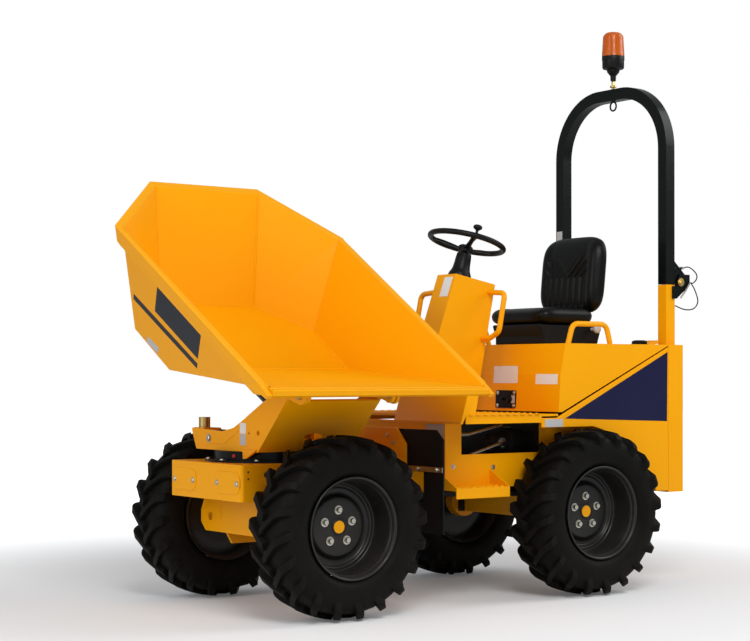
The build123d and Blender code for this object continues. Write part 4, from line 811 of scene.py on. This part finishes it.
# %% Slew ring bolts and its plug
RING_MIDDLE = 0.300
BOLT_CIRCLE_R = 0.284
PLUG_CIRCLE_R = 0.262
ring_low, ring_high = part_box("slew_ring_lower")
ring_middle = np.array([ring_low[0] + RING_MIDDLE, MID[1], ring_high[2]])
bolt_turns = np.radians(8.0 + 36.0 * np.arange(10))
places = round_about(ring_middle, BOLT_CIRCLE_R, FORWARD, LEFT, bolt_turns)
hex_bolts("ring_bolts", places, UP, 0.0105, 0.0052, "front_frame")
plug_way = round_about(0.0, 1.0, FORWARD, LEFT, math.radians(18.0))[0]
plug_line = [(0, 0.004), (0.007, 0.0035), (0.009, 0.001), (0.009, -0.004), (0, -0.004)]
lathe("ring_plug", plug_line, ring_middle + PLUG_CIRCLE_R * plug_way + UP * 0.017, plug_way, UP, 20,
      red_plastic, "swivel", "plastic_black")

# %% Swivel frame trim
swivel_side = face_of("swivel_frame", FORWARD)
label("swivel_label_upper", swivel_side, (102, 152, 760, 805), white_vinyl, "swivel")
label("swivel_label_lower", swivel_side, (102, 152, 711, 757), grey_vinyl, "swivel")
weld = on_face(swivel_side, [(0, -136, 711), (0, -31, 712), (0, 90, 772)], 0)
tube("swivel_weld", bent_path(weld, 0.03), 0.0022, amber, "swivel", "paint_amber", steps=8)
hex_bolts("swivel_bolt", on_face(swivel_side, [(0, -164, 733)], 0), FORWARD, 0.013, 0.009, "swivel")
# the hole in the swivel frame is a disc of painted shade
drilled("swivel_hole", on_face(swivel_side, [(0, 177, 763)], 0), (0.0045,), FORWARD, "swivel")

# %% Flap strip and beam bolts
STRIP_THICK = 0.004
flap_front = face_of("flaps", FORWARD)
beam_front = face_of("flap_beam", FORWARD)
for name, turn in SIDES:
    label("flap_strip_" + name, flap_front, (turn * 245, turn * 590, 590, 612), bare_steel, "front_frame",
          "steel_bare", lift=0.0, thick=STRIP_THICK)
    on_strip = on_face(flap_front, [(0, turn * y, 601) for y in (278, 410, 548)], 0) + FORWARD * STRIP_THICK
    on_beam = on_face(beam_front, [(0, turn * y, z) for y, z in ((194, 741), (244, 711), (259, 650))], 0)
    places = np.vstack([on_strip, on_beam])
    hex_bolts("flap_bolts_" + name, places, FORWARD, 0.008, 0.007, "front_frame")

# %% [markdown]
# ## Decals and plates
# The machine's big graphics are a dark panel and a stripe on the skip's side, and a navy triangle on the
# rear wing. Both wings carry the triangle, and the skip has its panel and stripe at front and back. Plates
# and labels are blank.

# %% Skip side graphics
panel = [(0, -61, 1395), (0, 303, 1194), (0, 210, 1074), (0, -147, 1280)]
stripe = [(0, -346, 1360), (0, 197, 1055), (0, 185, 1034), (0, -360, 1338)]
for name, turn in (("front", 1), ("back", -1)):
    skip_side = face_of("skip_shell", (turn, 0, -0.2))
    decal("skip_panel_" + name, skip_side, panel, 0, dark_vinyl, "skip", "paint_dark")
    decal("skip_stripe_" + name, skip_side, stripe, 0, dark_vinyl, "skip", "paint_dark")
corners = [(0, -279, 1175), (0, -178, 1124), (0, -199, 1099), (0, -298, 1151)]
decal("skip_label", face_of("skip_shell", (1, 0, -0.2)), corners, 0, grey_vinyl, "skip", "plastic_black")

# %% Wing, bonnet, console and chassis
triangle = [(-1216, 0, 1118), (-567, 0, 808), (-1212, 0, 786)]
corners = [(-448, 0, 771), (-555, 0, 771), (-555, 0, 806), (-448, 0, 806)]
for name, turn in SIDES:
    wing_side = face_of("wings", LEFT * turn)
    decal("wing_triangle_" + name, wing_side, triangle, 1, navy_vinyl, "rear_frame", "paint_dark")
    decal("wing_label_" + name, wing_side, corners, 1, grey_vinyl, "rear_frame", "plastic_black")
bonnet_front = face_of("bonnet", (1, 0, 0.05))
label("bonnet_label_large", bonnet_front, (-1, 181, 969, 1050), white_vinyl, "bonnet")
label("bonnet_label_small", bonnet_front, (314, 472, 965, 1012), white_vinyl, "bonnet")
label("console_label", face_of("console", (1, 0, 0.4)), (-8, 55, 1374, 1466), white_vinyl, "rear_frame")
bulkhead = face_of("rear_chassis", FORWARD)
label("chassis_plate", bulkhead, (217, 352, 706, 788), grey_vinyl, "rear_frame", "plated_steel")
for name, turn in SIDES:
    chassis_side = face_of("rear_chassis", LEFT * turn)
    places = on_face(chassis_side, [(-24, 0, 600), (-250, 0, 591), (-250, 0, 543)], 1)
    hex_bolts("chassis_bolts_" + name, places, LEFT * turn, 0.0075, 0.006, "rear_frame")
hoop_face = face_of("rops_hoop", FORWARD)
label("hoop_label", hoop_face, (-407, -363, 1701, 1756), grey_vinyl, "rops_hoop", "plated_steel")

# %% [markdown]
# ## Weld beads
# Where two sheets meet in a hollow corner, a bead of weld fills it. Those corners are the concave edges of
# the merged CAD mesh, so the beads are found and not placed by hand.


# %% Beads along concave edges
def weld_beads(node, radius, body, shortest=0.05):
    """Six-sided bars along a node's concave edges that are longer than the shortest."""
    work = merged(frame["nodes"][node].data, 1.0)
    ends = [(edge.verts[0].co[:], edge.verts[1].co[:]) for edge in work.edges
            if len(edge.link_faces) == 2 and not edge.is_convex and edge.calc_face_angle() > 0.12
            and edge.calc_length() > shortest]
    work.free()
    ends = np.array(ends)
    along = ends[:, 1] - ends[:, 0]
    along /= np.linalg.norm(along, axis=1, keepdims=True)
    side = np.cross(along, np.where(np.abs(along[:, 2:]) > 0.9, LEFT, UP))
    side /= np.linalg.norm(side, axis=1, keepdims=True)
    other = np.cross(along, side)
    turn = np.arange(6) * np.pi / 3
    ring = radius * (np.cos(turn)[:, None] * side[:, None] + np.sin(turn)[:, None] * other[:, None])
    points = (ends[:, :, None] + ring[:, None]).reshape(-1, 3)
    faces = []
    for k in range(len(ends)):
        faces += grid_faces(2, 6, False, True, 12 * k)
    return fitted(node + "_welds", (points, faces), amber, body, "paint_amber", sharp=70.0)


for node, radius, body in (("skip_shell", 0.0050, "skip"), ("swivel_frame", 0.0035, "swivel"),
                           ("steps", 0.0025, "rear_frame"), ("footplate", 0.0025, "rear_frame")):
    weld_beads(node, radius, body)

# %% [markdown]
# ## Grip dimples
# The footplate and the steps are pressed with rows of round dimples. One dome is computed, and the array of
# all its copies is made by adding the grid of places to it.


# %% Dimples
def dimples(name, xs, ys, z, radius, height, body):
    """Domes on a grid: height x cos^2(r / radius x pi / 2) at a distance r from each middle."""
    turn = np.linspace(0, 2 * np.pi, 12, endpoint=False)
    radii = radius * np.array([1.0, 0.78, 0.52, 0.26])
    heights = height * np.cos(radii / radius * np.pi / 2) ** 2
    dome = np.concatenate([np.stack([r * np.cos(turn), r * np.sin(turn), np.full(12, h)], -1)
                           for r, h in zip(radii, heights)])
    gx, gy = np.meshgrid(xs, ys, indexing="ij")
    places = spots(np.stack([gx.ravel(), gy.ravel(), np.full(gx.size, z)], -1))
    points = (places[:, None] + dome[None]).reshape(-1, 3)
    faces = []
    for k in range(len(places)):
        faces += grid_faces(4, 12, False, True, 48 * k) + [list(range(48 * k + 36, 48 * k + 48))]
    return fitted(name, (points, faces), amber, body, "paint_amber", sharp=60.0)


floor_top = face_of("footplate", UP)[1] * 1000.0
step_top = face_of("steps", UP)[1] * 1000.0
print("floor and step tops", floor_top, step_top)
for name, turn in SIDES:
    dimples("floor_dimples_" + name, np.arange(-400, -10, 42), turn * np.arange(110, 500, 42), floor_top,
            0.0140, 0.008, "rear_frame")
    dimples("step_dimples_" + name, np.arange(-209, 45, 42), turn * np.arange(401, 500, 37), step_top,
            0.0165, 0.014, "rear_frame")

# %% [markdown]
# ## Steering wheel and column
# The wheel is a round rim on three arms that drop to a hub, with a spinner knob. The column wears a
# rubber boot. All of it is measured from the steering joint and along its axis.

# %% Wheel, knob and boot
turn_joint = next(j for j in frame["joints"] if j["name"] == "steering_turn")
wheel_way = np.array(turn_joint["axis"], float)
wheel_way /= np.linalg.norm(wheel_way)
if wheel_way[2] < 0:
    wheel_way = -wheel_way
wheel_ahead = np.cross(LEFT, wheel_way)
wheel_middle = np.array(turn_joint["pos_m"], float)
WHEEL_R = 0.176


def arm(turn_angle):
    """An arm of the wheel: an ellipse carried from hub to rim, wide at both ends and narrow between."""
    reach = np.linspace(0.016, 0.170, 14)
    share = (reach - reach[0]) / (reach[-1] - reach[0])
    drop = -0.034 * (1 - share) ** 1.5 - 0.002
    half_wide = 0.0120 + 0.0075 * np.abs(2 * share - 1) ** 2
    out = math.cos(turn_angle) * wheel_ahead + math.sin(turn_angle) * LEFT
    across = np.cross(wheel_way, out)
    ring = round_ring(1.0, 12)
    spine = wheel_middle + reach[:, None] * out + drop[:, None] * wheel_way
    aside = (half_wide[:, None, None] * ring[None, :, :1]) * across
    points = spine[:, None] + aside + 0.006 * ring[None, :, 1:] * wheel_way
    return points.reshape(-1, 3), grid_faces(14, 12, False, True)


FULL_TURN = np.linspace(0, 2 * np.pi, 72, endpoint=False)
KNOB_TURN = math.radians(66.0)
rim_line = round_about(wheel_middle, WHEEL_R, wheel_ahead, LEFT, FULL_TURN)
rim = carried(rim_line, round_ring(0.0135, 14), True, wheel_way)
hub_line = [(0, -0.050), (0.034, -0.050), (0.036, -0.030), (0.034, -0.022), (0.026, -0.016), (0.0, -0.014)]
hub = turned(hub_line, wheel_middle, wheel_way, LEFT, 32)
shaft_line = [(0, -0.078), (0.010, -0.078), (0.010, -0.050), (0, -0.050)]
shaft = turned(shaft_line, wheel_middle, wheel_way, LEFT, 16)
arms = [arm(math.radians(angle)) for angle in (66, 186, 306)]
fitted("steering_wheel_moulded", joined([rim, hub, shaft] + arms), black_plastic, "steering_wheel",
       "plastic_black", "steering_wheel", sharp=50.0, close=True)
knob_foot = round_about(wheel_middle, WHEEL_R, wheel_ahead, LEFT, KNOB_TURN)[0]
knob_curve = smooth_path([(0.0065, 0.018), (0.0080, 0.026), (0.0190, 0.034), (0.0215, 0.042), (0.0160, 0.050),
                          (0.0060, 0.053)], 4)
knob_line = np.vstack([[(0, 0.008), (0.0065, 0.008)], knob_curve, [(0, 0.053)]])
lathe("spinner_knob", knob_line, knob_foot, wheel_way, LEFT, 28, black_plastic, "steering_wheel",
      "plastic_black")
boot_curve = smooth_path([(0.056, -0.180), (0.054, -0.160), (0.044, -0.138), (0.039, -0.110), (0.037, -0.080),
                          (0.034, -0.058)], 4)
boot_line = np.vstack([[(0, -0.180)], boot_curve, [(0, -0.058)]])
lathe("column_boot", boot_line, wheel_middle, wheel_way, LEFT, 40, black_plastic, "rear_frame",
      "plastic_black")

# %% [markdown]
# ## Seat
# Both pads are one closed form: a square grid pressed onto a rounded outline, blown up to a crown that falls
# to nothing at the edge. The side bolsters and the moulded flutes are fields added to the front of it.
# Below a line the flutes run straight up, and above it they fan outwards.

# %% Pads
PAD_STEPS = 120


def pad(name, middle, across, up, out, half_wide, half_high, front, back, relief, shape=4.6, lean=0.0):
    """A crowned pad. For r = max(|u|, |v|) a point lies at r times the outline |a|^n + |b|^n = 1 in its
    direction. It stands before the middle plane by front (1 - r^5)^0.6 + relief(a, b), and behind it by
    back (1 - r^12)^0.5."""
    line = np.linspace(-1, 1, PAD_STEPS)
    u, v = np.meshgrid(line, line, indexing="ij")
    r = np.maximum(np.abs(u), np.abs(v))
    theta = np.arctan2(v, u)
    edge = (np.abs(np.cos(theta)) ** shape + np.abs(np.sin(theta)) ** shape) ** (-1 / shape)
    a, b = r * edge * np.cos(theta), r * edge * np.sin(theta)
    crown = np.clip(1 - r**5, 0, 1) ** 0.6
    under = np.clip(1 - r**12, 0, 1) ** 0.5
    place = middle + (half_wide * a)[..., None] * across + (half_high * b)[..., None] * up
    place = place - (lean * half_high * b)[..., None] * out
    near = place + (front * crown + relief(a, b) * np.clip(1 - r**9, 0, 1))[..., None] * out
    far = place - (back * under)[..., None] * out
    points = np.vstack([near.reshape(-1, 3), far.reshape(-1, 3)])
    faces = grid_faces(PAD_STEPS, PAD_STEPS) + grid_faces(PAD_STEPS, PAD_STEPS, start=PAD_STEPS**2)
    return new_piece(name, (points, faces), seat_vinyl, 60.0, close=True)


def back_relief(a, b):
    """Bolsters towards the sides, and flutes: lines of equal |a| - fan, deeper near the middle."""
    side = np.clip((np.abs(a) - 0.55) / 0.35, 0, 1)
    bolster = 0.020 * side**2 * (3 - 2 * side)
    fan = np.abs(a) - 0.85 * np.clip(b + 0.05, 0, None)
    groove = np.cos(fan / 0.20 * np.pi) ** 2
    keep = np.clip((0.72 - np.abs(a)) / 0.15, 0, 1) * np.clip((b + 0.88) / 0.12, 0, 1)
    keep = keep * np.clip((0.42 - b + 0.25 * np.abs(a)) / 0.2, 0, 1) * np.clip((fan + 0.12) / 0.12, 0, 1)
    return bolster - 0.008 * keep * (1 - groove**1.5) - 0.004


def cushion_relief(a, b):
    """Bolsters towards the sides and a welt across the rear third."""
    side = np.clip((np.abs(a) - 0.60) / 0.32, 0, 1)
    bolster = 0.016 * side**2 * (3 - 2 * side)
    welt = 0.006 * np.exp(-((b - 0.25) / 0.03) ** 2) * np.clip((0.7 - np.abs(a)) / 0.1, 0, 1)
    across_welt = 0.005 * np.exp(-((np.abs(a) - 0.62) / 0.02) ** 2)
    return bolster - welt - across_welt - 0.008


back_low, back_high = np.array(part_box("seat_back"))
back_middle = (back_low + back_high) / 2 + FORWARD * 0.006
_, half_wide, half_high = (back_high - back_low) / 2
seat_pad = pad("seat_back_pad", back_middle, LEFT, UP, FORWARD, half_wide, half_high, 0.050, 0.034,
               back_relief, lean=0.10)
dress(seat_pad, "bonnet", "vinyl_black", "seat_back")
cushion_low, cushion_high = np.array(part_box("seat_cushion"))
cushion_middle = (cushion_low + cushion_high) / 2 - UP * 0.004
half_deep, half_wide, _ = (cushion_high - cushion_low) / 2
cushion = pad("seat_cushion_pad", cushion_middle, LEFT, -FORWARD, UP, half_wide, half_deep, 0.046, 0.042,
              cushion_relief, shape=6.0)
dress(cushion, "bonnet", "vinyl_black", "seat_cushion")
knob_line = smooth_path([(0.0, 0.0), (0.008, 0.0), (0.008, 0.026), (0.019, 0.032), (0.020, 0.046),
                         (0.012, 0.052), (0.0, 0.053)], 3)
lathe("seat_knob", knob_line, at(-1000, 185, 1230), LEFT, UP, 24, grey_vinyl, "bonnet", "plastic_black")

# %% [markdown]
# ## Beacon and hoop fittings
# The beacon is a black foot with a threaded stem, a ribbed amber dome and a reflector that shows through it.
# Under the hoop hangs its eye. Each foot of the hoop has a bolt and a latch pin on a lanyard.

# %% Beacon
dome_low, dome_high = np.array(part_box("beacon_dome"))
base_low, base_high = np.array(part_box("beacon_base"))
beacon_axis = (dome_low + dome_high) / 2 * (FORWARD + LEFT)
dome_foot = beacon_axis + UP * dome_low[2]
base_foot = beacon_axis + UP * base_low[2]
dome_tall = dome_high[2] - dome_low[2]
foot_tall = base_high[2] - base_low[2]
height = np.linspace(0.0, 1.0, 70)
shoulder = np.clip((height - 0.8) / 0.2, 0, 1)
radius = 0.0575 - 0.007 * height - 0.016 * shoulder**2.2 + 0.0005 * np.sin(height * 150)
outer_line = np.stack([radius, height * (dome_tall - 0.0040)], -1)
inner_line = np.stack([radius[::-6] - 0.004, height[::-6] * (dome_tall - 0.008)], -1)
dome_line = np.vstack([outer_line, [(0.020, dome_tall - 0.001), (0, dome_tall), (0, dome_tall - 0.004)],
                       inner_line])
lathe("beacon_lens", dome_line, dome_foot, UP, LEFT, 72, lens_amber, "rops_hoop", "lens_amber", "beacon_dome",
      ring=True, sharp=60)
lamp_line = smooth_path([(0.0, 0.020), (0.024, 0.020), (0.012, 0.030), (0.008, 0.050), (0.026, 0.085),
                         (0.0, 0.088)], 4)
lathe("beacon_reflector", lamp_line, dome_foot, UP, LEFT, 32, rod_chrome, "rops_hoop", "plated_steel")
foot_line = [(0, 0), (0.007, 0), (0.007, 0.045), (0.014, 0.047), (0.015, 0.072), (0.030, 0.090),
             (0.034, 0.104), (0.052, 0.108), (0.0555, 0.114), (0.0558, 0.150), (0.0575, 0.152),
             (0.0575, foot_tall - 0.003), (0.0565, foot_tall), (0, foot_tall)]
lathe("beacon_foot", foot_line, base_foot, UP, LEFT, 56, black_plastic, "rops_hoop", "plastic_black",
      "beacon_base", sharp=30)
thread_line = [(0.0075, 0.0), (0.0085, 0.002), (0.0085, 0.012), (0.0165, 0.014), (0.0165, 0.022),
               (0.0085, 0.024), (0.0085, 0.042), (0.0075, 0.044)]
lathe("beacon_thread", thread_line, base_foot, UP, LEFT, 24, brass_zinc, "rops_hoop", "plated_steel")
eye_line = round_about(base_foot - UP * 0.082, 0.022, LEFT, UP, FULL_TURN)
tube("hoop_eye", eye_line, 0.0045, black_enamel, "rops_hoop", "paint_black", True, FORWARD, 10)

# %% Bolts, latch pins and lanyards at the hoop's feet
for name, turn in SIDES:
    outer = turn * 430.0
    hex_bolts("hoop_bolt_" + name, [at(-1373, turn * 422, 1462)], LEFT * turn, 0.014, 0.012, "rear_frame",
              brass_zinc)
    pin = spots([(-1372, turn * 416, 1530), (-1372, turn * 436, 1530)])
    tube("latch_pin_" + name, pin, 0.007, zinc, "rops_hoop", "plated_steel", steps=12)
    clip = spots([(-1427, outer, 1461), (-1392, outer + turn * 5, 1420), (-1364, outer, 1384)])
    tube("latch_clip_" + name, smooth_path(clip, 6), 0.0045, zinc, "rear_frame", "plated_steel", steps=10)
    upper = [(-1376, outer, 1530), (-1420, outer, 1536), (-1466, outer, 1510), (-1474, outer, 1484),
             (-1450, outer, 1460), (-1427, outer, 1461)]
    aside = outer + turn * 11
    lower = [(-1427, outer + turn * 7, 1459), (-1452, aside, 1420), (-1470, aside, 1368),
             (-1440, aside, 1333), (-1390, outer, 1328), (-1339, outer - turn * 14, 1346)]
    for part, route, body in (("upper", upper, "rops_hoop"), ("lower", lower, "rear_frame")):
        line = smooth_path(spots(route), 8)
        tube("lanyard_" + part + "_" + name, line, 0.0030, black_plastic, body, "plastic_black", steps=8)

# %% [markdown]
# ## Controls, cap and hidden machinery
# The black control plate has four screws and a small plate. The filler cap is knurled. Behind the window
# under the footplate stand the pump and its two steel pipes.

# %% Control plate and cap
plate_face = face_of("control_plate", FORWARD, 2)
_, plate_y, plate_z = (np.array(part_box("control_plate")).mean(0) - MID) * 1000
rows = [(0, plate_y + a * 62, plate_z + b * 30) for a in (-1, 1) for b in (-1, 1)]
hex_bolts("plate_screws", on_face(plate_face, rows, 0), FORWARD, 0.0065, 0.003, "bonnet")
sides = (plate_y + 44, plate_y + 70, plate_z - 18, plate_z + 18)
label("control_label", plate_face, sides, grey_vinyl, "bonnet")
KNURLS = 24
cap_low, cap_high = np.array(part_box("filler_cap"))
cap_middle = (cap_low + cap_high) / 2
cap_middle[2] = cap_low[2]
turns = np.linspace(0, 2 * np.pi, 4 * KNURLS, endpoint=False)
knurl = 1 + 0.025 * np.sign(np.sin(KNURLS * turns))[:, None]
rings = [(0.034, 0.0), (0.036, 0.003), (0.036, 0.015), (0.032, 0.019), (0.022, 0.022), (0.0005, 0.022)]
points = np.vstack([round_about(cap_middle + UP * h, r * knurl, FORWARD, LEFT, turns) for r, h in rings])
faces = grid_faces(len(rings), len(turns), False, True)
fitted("filler_cap_knurled", (points, faces), black_plastic, "bonnet", "plastic_black", "filler_cap")

# %% Pump and pipes on the front of the engine
pump_line = [(0.0, 0.0), (0.085, 0.0), (0.085, 0.020), (0.060, 0.030), (0.060, 0.110), (0.072, 0.116),
             (0.072, 0.150), (0.050, 0.160), (0.046, 0.240), (0.030, 0.252), (0.030, 0.272), (0.0, 0.272)]
lathe("pump", pump_line, at(-592, 190, 690), FORWARD, UP, 40, cast_dark, "rear_frame", "cast_dark")
PIPES = {
    "upper": [(-470, 190, 750), (-470, 190, 775), (-400, 240, 775), (-200, 240, 735), (0, 240, 735)],
    "lower": [(-400, 236, 690), (-400, 262, 690), (-340, 290, 690), (-160, 290, 640), (0, 290, 640)],
}
for name, route in PIPES.items():
    line = spots(route)
    tube("pump_pipe_" + name, bent_path(line, 0.03), 0.009, zinc, "rear_frame", "plated_steel", steps=12)
    hex_bolts("pump_nut_" + name, line[:1], line[1] - line[0], 0.018, 0.016, "rear_frame")
